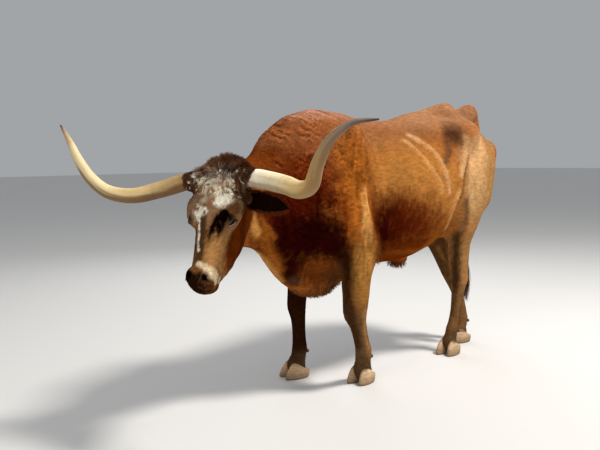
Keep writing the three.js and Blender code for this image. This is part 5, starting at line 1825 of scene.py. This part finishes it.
@dataclass
class Horn:
    """One horn: a tapering tube with rings at its root and a rounded, dark tip.

    Shades are pairs of a share of the length and a screen colour. The underside darkens towards
    a colour of its own, partly a real stain and partly painted shade.
    """

    word: str
    girth: float
    taper: float
    path: tuple
    shades: tuple
    under: tuple
    underside_stain_and_shade: float
    steps: int = 190
    sides: int = 44
    base_radius: float = 41.0
    tip_radius: float = 3.5
    collar: float = 0.12

    def radius(self, t: Array) -> Array:
        """Radius in millimetres at share t: girth, less t to the power of the taper."""
        collar = 1 - self.collar * np.maximum(1 - t / 0.14, 0)
        return self.girth * collar * self.base_radius * (1 - t**self.taper) + self.tip_radius * t

    def build(self) -> bpy.types.Object:
        """Makes the horn's object."""
        path = centripetal(np.array(self.path, float), self.steps) * MM
        across, up = carried(path)
        t = np.linspace(0, 1, self.steps)
        angle = np.linspace(0, 2 * np.pi, self.sides, endpoint=False)
        round_off = np.sqrt(np.clip((1 - t) / 0.006, 0, 1))
        radius = self.radius(t) * MM * round_off
        ring = np.cos(angle)[None, :, None] * across[:, None] + np.sin(angle)[None, :, None] * up[:, None]
        flatness = 1 + 0.035 * np.cos(2 * angle + 0.6)
        rings = np.sin(2 * np.pi * (t * 46 + 0.6 * np.sin(t * 31))) * np.exp(-t / 0.10) * 0.012
        swell = 1 + rings[:, None]
        grid = path[:, None] + ring * (radius[:, None] * swell * flatness)[..., None]
        lumps = noise(grid.reshape(-1, 3), 0.05, 71).reshape(grid.shape[:2])
        grid = grid + ring * (radius[:, None] * 0.02 * lumps)[..., None]
        name = f"horn_{self.word}_shell"
        mesh = mesh_from(name, HEAD.out_of(grid).reshape(-1, 3), grid_faces(self.steps, self.sides, True))
        places = grid.reshape(-1, 3)
        share = np.repeat(t, self.sides)
        around = np.tile(angle, self.steps)
        grain = np.column_stack([np.cos(around) * 0.05, np.sin(around) * 0.05, share * 0.25])
        streak = noise(np.column_stack([grain[:, :2], share * 0.12]), 0.012, 73)
        band = np.column_stack([np.cos(around) * 0.012, np.sin(around) * 0.012, share * 1.9])
        band = noise(band, 0.018, 79)
        at = np.clip(share + 0.05 * cloud(places, 0.08, 75), 0, 1)
        stops = np.array([stop for stop, _ in self.shades])
        shades = np.array([linear(shade) for _, shade in self.shades])
        tone = np.column_stack([np.interp(at, stops, shades[:, k]) for k in range(3)])
        # Partly a real stain and partly painted shade: the downward side of the horn darkens towards the
        # underside colour
        beneath = -(ring.reshape(-1, 3) @ HEAD.axes)[:, 2] + 0.3 * streak
        stain_and_shade = self.underside_stain_and_shade * smoothstep(-0.1, 0.5, beneath) * smoothstep(0.97, 0.75, share)
        tone += (linear(self.under) - tone) * stain_and_shade[:, None]
        tone *= (1 + 0.15 * streak + 0.16 * band * np.exp(-share / 0.35))[:, None]
        store_colour(mesh, tone)
        layer = mesh.attributes.new("grain", "FLOAT_VECTOR", "POINT")
        layer.data.foreach_set("vector", grain.astype(np.float32).ravel())
        shell = piece(name, mesh, "horn", HORN)
        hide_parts(f"horn_{self.word}")
        return shell


HORNS = (
    Horn("left", 1.0, 2.2, ((34, 70, -42), (31, 160, -45), (78, 334, -8), (118, 422, 36), (122, 493, 90),
                            (65, 545, 179), (-4, 606, 241), (-64, 686, 256), (-112, 773, 195)),
         ((0.0, (206, 182, 142)), (0.08, (250, 238, 212)), (0.26, (244, 222, 178)), (0.40, (228, 194, 130)),
          (0.54, (206, 166, 102)), (0.70, (176, 144, 98)), (0.84, (144, 122, 104)), (0.94, (84, 68, 64)),
          (1.0, (26, 18, 18))),
         (104, 72, 38), 0.6),
    Horn("right", 0.93, 2.0, ((40, -70, -36), (56, -149, -26), (110, -280, -7), (162, -387, 44),
                              (168, -474, 104), (131, -533, 161), (72, -577, 213), (-3, -628, 241),
                              (-105, -729, 230)),
         ((0.0, (168, 132, 86)), (0.15, (180, 144, 94)), (0.40, (214, 186, 132)), (0.62, (240, 220, 170)),
          (0.80, (238, 214, 166)), (0.93, (158, 124, 90)), (1.0, (58, 44, 36))),
         (104, 66, 30), 0.85),
)


@dataclass
class Hoof:
    """A cloven hoof: two rounded claws with growth rings, splayed and dusty.

    The outline's rows give a height in millimetres, a share of the full size and how far the
    ring lies forward.
    """

    name: str
    rows: Rows
    toe_out: float
    claw_width: float = 64.0
    length: float = 150.0
    coronet: float = 64.0
    slope: float = 0.3
    sides: int = 48
    outline: tuple = ((0, 0.93, 20), (8, 1, 19), (30, 0.98, 13), (52, 0.93, 6), (72, 0.83, -2),
                      (96, 0.66, -12))
    wall: float = 0.07
    low: tuple = (150, 122, 92)
    high: tuple = (200, 168, 130)
    # Painted shade: a dark band round the top of the wall, under the coronet's hair
    rim: tuple = (96, 74, 52)

    def claw(self, side: int) -> Array:
        """A grid of one claw's corners, millimetres, about the foot.

        The wall's upper edge follows the coronet's slope and rounds in under the hair.
        """
        angle = np.linspace(0, 2 * np.pi, self.sides, endpoint=False)
        toe = np.maximum(np.sin(angle), 0)
        top = self.coronet + self.slope * (13 + 0.5 * self.length * np.sin(angle))
        walls = np.array([(0, 0), (0, 0.5), (0, 0.9), (0.005, 0.97)]
                         + [(t, 1.0) for t in np.linspace(0.04, 0.8, 14)]
                         + [(0.88, 0.985), (0.95, 0.95), (1.0, 0.88), (1.03, 0.76), (1.05, 0.5),
                            (1.05, 0.0)])
        share, inset = walls[:, :1], walls[:, 1:]
        height = np.clip(share * top, 0, 95)
        table = np.array(self.outline, float)
        size = np.interp(height, table[:, 0], table[:, 1])
        ahead = np.interp(height, table[:, 0], table[:, 2])
        ripple = 1 + 0.010 * np.sin(height * 2 * np.pi / 12.5 + 0.6 * np.sin(2 * angle)) * (inset > 0.96)
        full = size * inset * ripple
        across = 0.5 * self.claw_width * full * np.cos(angle) * (1 - 0.22 * toe * toe)
        x = side * (0.5 * self.claw_width * (0.55 + 0.45 * size) + 3 + 3 * toe * full) + across
        y = -(ahead + 0.5 * self.length * full * np.sin(angle))
        return np.stack([x, y, height + 0 * angle], -1)

    def build(self) -> bpy.types.Object:
        """Makes the hoof's object."""
        foot = np.array(self.rows[-1][:3]) * [1, 1, 0]
        turn = turned((0, 0, self.toe_out))
        grids = [self.claw(side) for side in (1, -1)]
        corners = np.concatenate([(grid.reshape(-1, 3) @ turn.T + foot) * MM for grid in grids])
        faces = grid_faces(grids[0].shape[0], self.sides, True)
        faces = np.concatenate([faces, faces + len(corners) // 2])
        mesh = mesh_from(f"{self.name}_claws", corners, faces)
        height = corners[:, 2] / self.wall
        low, high, rim = linear(self.low), linear(self.high), linear(self.rim)
        tone = low + (high - low) * smoothstep(0.1, 0.9, height)[:, None]
        # Painted shade at the top of the wall
        tone += (rim - tone) * smoothstep(1.0, 1.35, height + 0.2 * noise(corners, 0.02, 85))[:, None]
        mottle = 0.22 * cloud(corners * [1, 1, 3], 0.03, 83)
        tone = tone * (1 + mottle + 0.06 * np.sin(height * 34))[:, None]
        tone *= (1 - 0.45 * smoothstep(0.16, 0.0, height))[:, None]
        store_colour(mesh, tone)
        shell = piece(f"{self.name}_claws", mesh, "hoof", HOOF)
        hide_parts(self.name)
        return shell


def dewclaws() -> bpy.types.Object:
    """The two small horn buttons behind each fetlock, as balls drawn out into rounded cones."""
    grids = []
    rings, sides = 12, 20
    angle = np.linspace(0, 2 * np.pi, sides, endpoint=False)
    t = np.linspace(0, np.pi, rings)[:, None]
    for rows in list(FORELEG.values()) + list(HINDLEG.values()):
        fetlock = np.array(rows[-4][:3], float)
        for side in (1, -1):
            x = 11 * np.sin(t) * np.cos(angle)
            y = 11 * np.sin(t) * np.sin(angle)
            z = -15 * np.cos(t) + 0 * angle
            local = np.stack([x, y, z], -1) * (1 - 0.25 * (z > 0)[..., None])
            local = local @ turned((32, side * 14, 0)).T
            grids.append(local + fetlock + [side * 21, 39, -12])
    corners = np.concatenate([grid.reshape(-1, 3) for grid in grids]) * MM
    one = grid_faces(rings, sides, True)
    faces = np.concatenate([one + i * rings * sides for i in range(len(grids))])
    mesh = mesh_from("dewclaws", corners, faces)
    store_colour(mesh, linear((92, 74, 58)) * (1 + 0.2 * cloud(corners, 0.02, 87))[:, None])
    return piece("dewclaws", mesh, "hoof", HOOF)


@dataclass
class Eye:
    """A wet, dark eyeball with a level pupil, and the lids round it."""

    word: str
    site: EyeSite
    body: Body
    half_length: float = 17.0
    upper: float = 3.4
    lower: float = 3.6
    outer: tuple = (31, 25)
    iris: tuple = (44, 24, 14)
    rim: tuple = (46, 32, 26)
    wet: tuple = (26, 15, 12)
    # Painted highlight for the lower lid
    lower_lid_highlight: tuple = (206, 178, 146)

    def ball(self) -> bpy.types.Object:
        """The eyeball: a sphere swollen a little into its cornea, coloured by angle."""
        t = np.linspace(0, np.pi, 40)[:, None]
        angle = np.linspace(0, 2 * np.pi, 56, endpoint=False)
        local = np.stack([np.sin(t) * np.cos(angle), np.sin(t) * np.sin(angle), np.cos(t) + 0 * angle], -1)
        swell = 1 + 0.035 * smoothstep(0.7, 0.95, local[..., 2])
        grid = local * (EYE_RADIUS * MM * swell)[..., None]
        corners = grid.reshape(-1, 3) @ self.site.axes + self.site.middle
        mesh = mesh_from(f"eyeball_{self.word}", corners, grid_faces(*local.shape[:2], True))
        x, y, z = local.reshape(-1, 3).T
        away = np.sqrt(x * x + y * y)
        pupil = np.sqrt((x / 0.34) ** 2 + (y / 0.17) ** 2) + 2 * (z < 0)
        rays = noise(np.column_stack([np.arctan2(y, x), away, away]) * 0.1, 0.012, 91)
        tone = linear(self.iris) * (1 + 0.35 * rays)[:, None]
        tone += (linear(self.rim) - tone) * smoothstep(0.64, 0.74, away + 2 * (z < 0))[:, None]
        tone *= (1 - 0.94 * smoothstep(1.1, 0.95, pupil))[:, None]
        store_colour(mesh, tone)
        thing = piece(f"eyeball_{self.word}", mesh, "eye", EYE)
        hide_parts(f"eye_{self.word}")
        return thing

    def lids(self) -> bpy.types.Object:
        """A ring of skin from the wet edge of the slit out to the face, with a crease in it."""
        columns, rows = 64, 15
        angle = np.linspace(0, 2 * np.pi, columns, endpoint=False)
        s = np.linspace(0, 1, rows)[:, None]
        tall = np.where(np.sin(angle) > 0, self.upper, self.lower)
        inner_x = self.half_length * np.cos(angle)
        inner_y = tall * np.sin(angle) * np.abs(np.sin(angle)) ** 0.15
        x = inner_x + (self.outer[0] * np.cos(angle) - inner_x) * s
        y = inner_y + (self.outer[1] * np.sin(angle) - inner_y) * s
        lid_radius = EYE_RADIUS + 0.9
        on_ball = np.sqrt(np.maximum(lid_radius**2 - x**2 - y**2, 1.0))
        z = on_ball + (self.height(x, y) - on_ball) * smoothstep(0.12, 0.85, s)
        z = z + 2.2 * np.sin(np.pi * np.clip(s / 0.42, 0, 1)) - 1.6 * np.exp(-(((s - 0.52) / 0.08) ** 2))
        z = z + 1.6 * np.exp(-(((s - 0.70) / 0.10) ** 2)) - 2.2 * smoothstep(0.9, 1.0, s)
        z = z - 1.8 * (s < 0.02)
        grid = np.stack([x, y, z], -1) * MM
        corners = grid.reshape(-1, 3) @ self.site.axes + self.site.middle
        mesh = mesh_from(f"lids_{self.word}", corners, grid_faces(rows, columns, True))
        skin = Markings().paint(corners)
        edge = np.repeat(smoothstep(0.30, 0.08, s).ravel(), columns)[:, None]
        tone = skin + (linear(self.wet) - skin) * edge
        # Painted highlight: a light band along the lower lid, below the slit
        below = np.exp(-(((s - 0.30) / 0.07) ** 2)) * smoothstep(-0.2, -0.6, np.sin(angle))
        tone += (linear(self.lower_lid_highlight) - tone) * 0.8 * below.reshape(-1, 1)
        store_colour(mesh, tone)
        return piece(f"lids_{self.word}", mesh, "face", LID, facing=self.site.facing)

    def height(self, x: Array, y: Array) -> Array:
        """How far out of the eyeball's middle the face lies over places of the ring."""
        flat = np.stack([x.ravel(), y.ravel()], 1) * MM
        low = np.full(len(flat), -0.02)
        high = np.full(len(flat), 0.06)
        for _ in range(12):
            middle = (low + high) / 2
            points = np.column_stack([flat, middle]) @ self.site.axes + self.site.middle
            inside = self.body.flesh.distance(points) + 0.003 < 0
            low = np.where(inside, middle, low)
            high = np.where(inside, high, middle)
        return (low / MM).reshape(x.shape)


@dataclass
class Ear:
    """A cupped leaf, round at the root and open to the front, with hair on its back and in its cup."""

    word: str
    root: tuple
    along: tuple
    opens: tuple
    length: float = 194.0
    half_width: float = 46.0
    thickness: float = 6.0
    closed: float = 128.0
    open: float = 46.0
    rows: int = 42
    columns: int = 30
    # Painted shade: the cup is near black
    pit: tuple = (24, 10, 7)
    edge: tuple = (128, 66, 32)
    brown: tuple = (120, 58, 28)

    def surface(self, s: Array, v: Array, depth: Array) -> Array:
        """Places on the ear at share s of its length and v across it from -1 to 1, at a depth in.

        The section is an arc whose half angle falls from closed to open, in degrees, as the leaf
        opens.
        """
        axis = unit(np.array(self.along, float))
        opens = np.array(self.opens, float)
        opens = unit(opens - axis * (opens @ axis))
        across = np.cross(axis, opens)
        half = self.half_width * np.sin(np.pi * (0.16 + 0.76 * s**0.9)) ** 0.8
        half = half * np.sqrt(np.maximum(1 - s**10, 0.0))
        wrap = np.radians(self.closed + (self.open - self.closed) * np.minimum(s * 1.5, 1))
        radius = half / np.sin(np.minimum(wrap, np.pi / 2))
        r = np.maximum(radius - depth, 1.0)
        angle = wrap * v
        droop = -26 * s * s
        point = (np.array(self.root, float) + (self.length * s)[..., None] * axis
                 + (droop + radius * 0.6 - r * np.cos(angle))[..., None] * opens
                 + (r * np.sin(angle))[..., None] * across)
        return HEAD.out_of(point * MM)

    def build(self) -> None:
        """Makes the ear and its hair."""
        s, v = np.meshgrid(np.linspace(0, 0.995, self.rows), np.linspace(-1, 1, self.columns),
                           indexing="ij")
        rim = np.minimum(1, np.minimum((1 - np.abs(v)) / 0.16, (1 - s) / 0.08))
        rim = np.minimum(rim, s / 0.05)
        rim = np.sqrt(np.clip(rim * (2 - rim), 0, 1))
        ruffle = 2.0 * np.sin(9 * s + 4 * v)
        outer = self.surface(s, v, ruffle - 0.5 * self.thickness * rim + 3)
        inner = self.surface(s, v, ruffle + 0.5 * self.thickness * rim + 3)
        corners = np.concatenate([outer.reshape(-1, 3), inner.reshape(-1, 3)])
        one = grid_faces(self.rows, self.columns, False)
        faces = np.concatenate([one, one[:, ::-1] + self.rows * self.columns])
        mesh = mesh_from(f"ear_{self.word}_leaf", corners, faces)
        aside = np.abs(v).ravel()
        # The cup's near-black is painted shade
        dark, pit = Tint.EAR.light, linear(self.pit)
        rear = dark + (linear(self.edge) - dark) * smoothstep(0.8, 1.0, aside)[:, None]
        cup = pit + (dark - pit) * smoothstep(0.35, 0.95, aside)[:, None]
        tone = np.concatenate([rear, cup]) * (1 + 0.2 * cloud(corners, 0.03, 95))[:, None]
        store_colour(mesh, tone)
        leaf = piece(f"ear_{self.word}_leaf", mesh, "ear", LEAF, 2e-5)
        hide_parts(f"ear_{self.word}")
        self.hair()

    def hair(self) -> bpy.types.Object:
        """Short hair over the back of the ear, a fringe along its edges and long hair in its cup."""
        random = np.random.default_rng(101 if self.word == "left" else 103)
        batches = []
        left = 0.52 if self.word == "left" else 0.76
        # The cup hair's near-black tint is painted shade
        for kind, count, longest, tint in (
                ("back", 5200, 0.011, (30, 10, 6)), ("edge", 2000, 0.026, (104, 50, 24)),
                ("cup", 1500, 0.024, (34, 16, 11))):
            s = random.uniform(0.03, 0.985, count)
            v = random.uniform(-1, 1, count)
            if kind == "edge":
                v = np.sign(v) * random.uniform(0.9, 1.0, count)
            if kind == "cup":
                s = random.uniform(0.05, 0.8, count)
                v = np.clip(random.normal(0, 0.55, count), -0.92, 0.92)
            depth = np.full(count, 0.0 if kind != "cup" else 6.0) + 2.0 * np.sin(9 * s + 4 * v)
            place = self.surface(s, v, depth)
            ahead = self.surface(np.minimum(s + 0.01, 1), v, depth) - place
            beside = self.surface(s, v + 0.01, depth) - place
            out = unit(np.cross(beside, ahead))
            centre = self.surface(s, 0 * v, depth + 40)
            facing = np.sign(dot(out, centre - place))[:, None]
            out = out * facing if kind == "cup" else -out * facing
            lie = unit(ahead)
            if kind == "edge":
                lie = unit(unit(ahead) * 0.75 + unit(beside) * np.sign(v)[:, None] * 0.7)
            if kind == "cup":
                lie = unit(unit(ahead) * 0.5 + unit(beside) * -np.sign(v)[:, None] * 0.3 + 0.5 * out)
            lie = unit(lie + random.normal(0, 0.16, (count, 3)))
            out = unit(out - lie * dot(out, lie)[:, None])
            tone = linear(tint) * random.lognormal(0, 0.25, count)[:, None]
            if kind == "back":
                brown = linear(self.brown)
                tone = tone + (brown - tone) * (smoothstep(0.75, 1, np.abs(v)) * 0.6)[:, None]
            length = longest * random.uniform(0.6, 1.2, count)
            flat = np.column_stack([left + 0.2 * s, 0.46 + 0.12 * (v + 1)])
            blades = Blades(length=length, width=0.0016, lift=0.2 if kind == "back" else 0.1, rows=3,
                            bend=random.normal(0, 0.15, count), tip=1.2)
            batches.append(grow(Roots(place, out, lie, tone, flat), blades))
        thing = hair_object(f"ear_{self.word}_hair", batches)
        dress(thing, "ear", HAIR)
        return thing


EARS = (
    Ear("left", (84, 98, -116), (0.2, 0.93, -0.3), (0.5, 0.1, 0.85)),
    Ear("right", (92, -92, -118), (0.22, -0.58, -0.78), (0.7, -0.72, 0.3)),
)


# Finishes


@dataclass(frozen=True)
class Finish:
    """A procedural material: the piece's own colours, broken by noise, with a bump and a gloss."""

    name: str
    roughness: float
    specular: float = 0.4
    bump: float = 0.0
    bump_size: float = 0.01
    stretch: tuple = (1.0, 1.0, 1.0)
    turn: float = 0.0
    mottle: float = 0.15
    mottle_size: float = 0.02
    sheen: float = 0.0
    coat: float = 0.0
    on_grain: bool = False

    def make(self) -> bpy.types.Material:
        """Builds the material once, and gives the same one after that."""
        known = bpy.data.materials.get(self.name)
        if known:
            return known
        material = bpy.data.materials.new(self.name)
        material.use_nodes = True
        tree = material.node_tree
        shader = tree.nodes["Principled BSDF"]
        shader.inputs["Roughness"].default_value = self.roughness
        shader.inputs["Specular IOR Level"].default_value = self.specular
        shader.inputs["Sheen Weight"].default_value = self.sheen
        shader.inputs["Sheen Roughness"].default_value = 0.4
        shader.inputs["Coat Weight"].default_value = self.coat
        shader.inputs["Coat Roughness"].default_value = 0.04
        if self.on_grain:
            source = tree.nodes.new("ShaderNodeAttribute")
            source.attribute_name = "grain"
            vector = source.outputs["Vector"]
        else:
            source = tree.nodes.new("ShaderNodeTexCoord")
            vector = source.outputs["Object"]
        place = tree.nodes.new("ShaderNodeMapping")
        place.inputs["Scale"].default_value = self.stretch
        place.inputs["Rotation"].default_value = (np.radians(self.turn), 0, 0)
        tree.links.new(vector, place.inputs["Vector"])
        tone = tree.nodes.new("ShaderNodeAttribute")
        tone.attribute_name = "tone"
        speckle = self.noise(tree, place, self.mottle_size, 4)
        span = tree.nodes.new("ShaderNodeMapRange")
        span.inputs["From Min"].default_value = 0.3
        span.inputs["From Max"].default_value = 0.7
        span.inputs["To Min"].default_value = 1 - self.mottle
        span.inputs["To Max"].default_value = 1 + self.mottle
        tree.links.new(speckle.outputs["Fac"], span.inputs["Value"])
        tinted = tree.nodes.new("ShaderNodeVectorMath")
        tinted.operation = "SCALE"
        tree.links.new(tone.outputs["Color"], tinted.inputs[0])
        tree.links.new(span.outputs["Result"], tinted.inputs["Scale"])
        tree.links.new(tinted.outputs["Vector"], shader.inputs["Base Color"])
        if self.bump:
            relief = self.noise(tree, place, self.bump_size, 5)
            bump = tree.nodes.new("ShaderNodeBump")
            bump.inputs["Distance"].default_value = self.bump
            bump.inputs["Strength"].default_value = 1.0
            tree.links.new(relief.outputs["Fac"], bump.inputs["Height"])
            tree.links.new(bump.outputs["Normal"], shader.inputs["Normal"])
        return material

    @staticmethod
    def noise(tree: bpy.types.NodeTree, place: bpy.types.Node, size: float,
              detail: float) -> bpy.types.Node:
        """A noise texture whose features are about a size in metres."""
        node = tree.nodes.new("ShaderNodeTexNoise")
        node.inputs["Scale"].default_value = 0.5 / size
        node.inputs["Detail"].default_value = detail
        node.inputs["Roughness"].default_value = 0.6
        tree.links.new(place.outputs["Vector"], node.inputs["Vector"])
        return node


HIDE = Finish("short_hide", 0.8, 0.0, 0.0022, 0.0035, (1.0, 0.3, 0.8), -20, 0.28, 0.006)
HAIR = Finish("hair_tufts", 0.8, 0.0, 0.0, mottle=0.14, mottle_size=0.004)
LID = Finish("eye_lid", 0.8, 0.1, 0.0008, 0.002, mottle=0.2, mottle_size=0.003)
HORN = Finish("horn_sheath", 0.5, 0.25, 0.0007, 0.003, (1.0, 1.0, 0.35), mottle=0.12,
              mottle_size=0.004, on_grain=True)
HOOF = Finish("hoof_wall", 0.75, 0.3, 0.0012, 0.004, (0.6, 0.6, 1.8), mottle=0.25, mottle_size=0.008)
EYE = Finish("wet_eye", 0.25, 0.2, 0.0, mottle=0.05, coat=0.12)
LEAF = Finish("ear_leaf", 0.8, 0.0, 0.001, 0.003, mottle=0.25, mottle_size=0.006)


def dress(thing: bpy.types.Object, slot: str, finish: Finish) -> None:
    """Gives a piece its material and its ride on the one body."""
    thing.data.materials.clear()
    thing.data.materials.append(finish.make())
    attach(thing, "root")
    log.info("made %s", thing.name)


# Studio


@dataclass
class Studio:
    """Pale floor, soft light from high on the animal's left, and the camera at the photo's angle."""

    eye: tuple = (2.84, -2.66803, 1.23359)
    turn: tuple = (48.86886, 5.28318, 0.81160)
    lens: float = 43.2
    sensor: float = 36.0

    def camera(self) -> None:
        """Sets the camera: yaw, then pitch down, then roll, all in degrees."""
        yaw, pitch, roll = np.radians(self.turn)
        ahead = np.array([-np.sin(yaw) * np.cos(pitch), np.cos(yaw) * np.cos(pitch), -np.sin(pitch)])
        level = np.array([np.cos(yaw), np.sin(yaw), 0.0])
        upright = np.cross(level, ahead)
        right = np.cos(roll) * level - np.sin(roll) * upright
        up = np.sin(roll) * level + np.cos(roll) * upright
        data = bpy.data.cameras.new("camera")
        data.lens = self.lens
        data.sensor_width = self.sensor
        thing = linked("camera", data)
        matrix = Matrix(np.column_stack([right, up, -ahead]).tolist()).to_4x4()
        matrix.translation = Vector(np.array(self.eye) + SHIFT)
        thing.matrix_world = matrix
        bpy.context.scene.camera = thing

    @staticmethod
    def lamp(name: str, place: tuple, aim: tuple, power: float, size: float, tint: tuple) -> None:
        """A square soft lamp at a place, turned to a point."""
        data = bpy.data.lights.new(name, "AREA")
        data.energy = power
        data.size = size
        data.color = tint
        thing = linked(name, data)
        thing.location = place
        thing.rotation_euler = (Vector(aim) - Vector(place)).to_track_quat("-Z", "Y").to_euler()

    def build(self) -> None:
        """Floor, lamps and sky."""
        side = 60.0
        corners = np.array([[-side, -side, 0], [side, -side, 0], [side, side, 0], [-side, side, 0]])
        floor = linked("floor", mesh_from("floor", corners, np.array([[0, 1, 2, 3]])))
        material = bpy.data.materials.new("floor")
        material.use_nodes = True
        shader = material.node_tree.nodes["Principled BSDF"]
        shader.inputs["Base Color"].default_value = (0.74, 0.73, 0.71, 1)
        shader.inputs["Roughness"].default_value = 0.9
        floor.data.materials.append(material)
        self.lamp("key", (2.7, 2.3, 6.2), (0.0, 0.1, 0.9), 480, 1.2, (1.0, 0.96, 0.90))
        self.lamp("front", (1.4, -5.0, 3.4), (0.0, -0.6, 0.9), 50, 2.6, (1.0, 0.97, 0.93))
        self.lamp("back", (-4.0, 2.5, 3.6), (0.0, 0.2, 0.9), 60, 3.0, (0.94, 0.97, 1.0))
        world = bpy.data.worlds.new("studio")
        world.use_nodes = True
        backdrop = world.node_tree.nodes["Background"]
        backdrop.inputs["Color"].default_value = (0.86, 0.89, 0.93, 1)
        backdrop.inputs["Strength"].default_value = 0.42
        scene = bpy.context.scene
        scene.world = world
        scene.view_settings.view_transform = "Standard"


# The flesh, and the way from the animal's frame to the shared one, which the left eye gives
BODY = Body()
SHIFT = np.array(sum(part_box("eye_left"), Vector())) / 2 - BODY.eyes["left"].middle


def main() -> None:
    """Builds every sub-assembly in order."""
    studio = Studio()
    studio.camera()
    skin = Skin(BODY, Relief(BODY), Markings())
    hide = skin.build()
    dress(hide, "coat", HIDE)
    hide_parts(*Skin.NODES)
    Coat(skin).build()
    for fringe in FRINGES:
        fringe.build(skin)
    Switch().build()
    for horn in HORNS:
        horn.build()
    for word, side in SIDES.items():
        Hoof(f"hoof_front_{word}", FORELEG[word], side * 12).build()
        Hoof(f"hoof_hind_{word}", HINDLEG[word], side * 10).build()
    dewclaws()
    for word, site in BODY.eyes.items():
        eye = Eye(word, site, BODY)
        eye.ball()
        eye.lids()
    for ear in EARS:
        ear.build()
    studio.build()


if __name__ == "__main__":
    main()
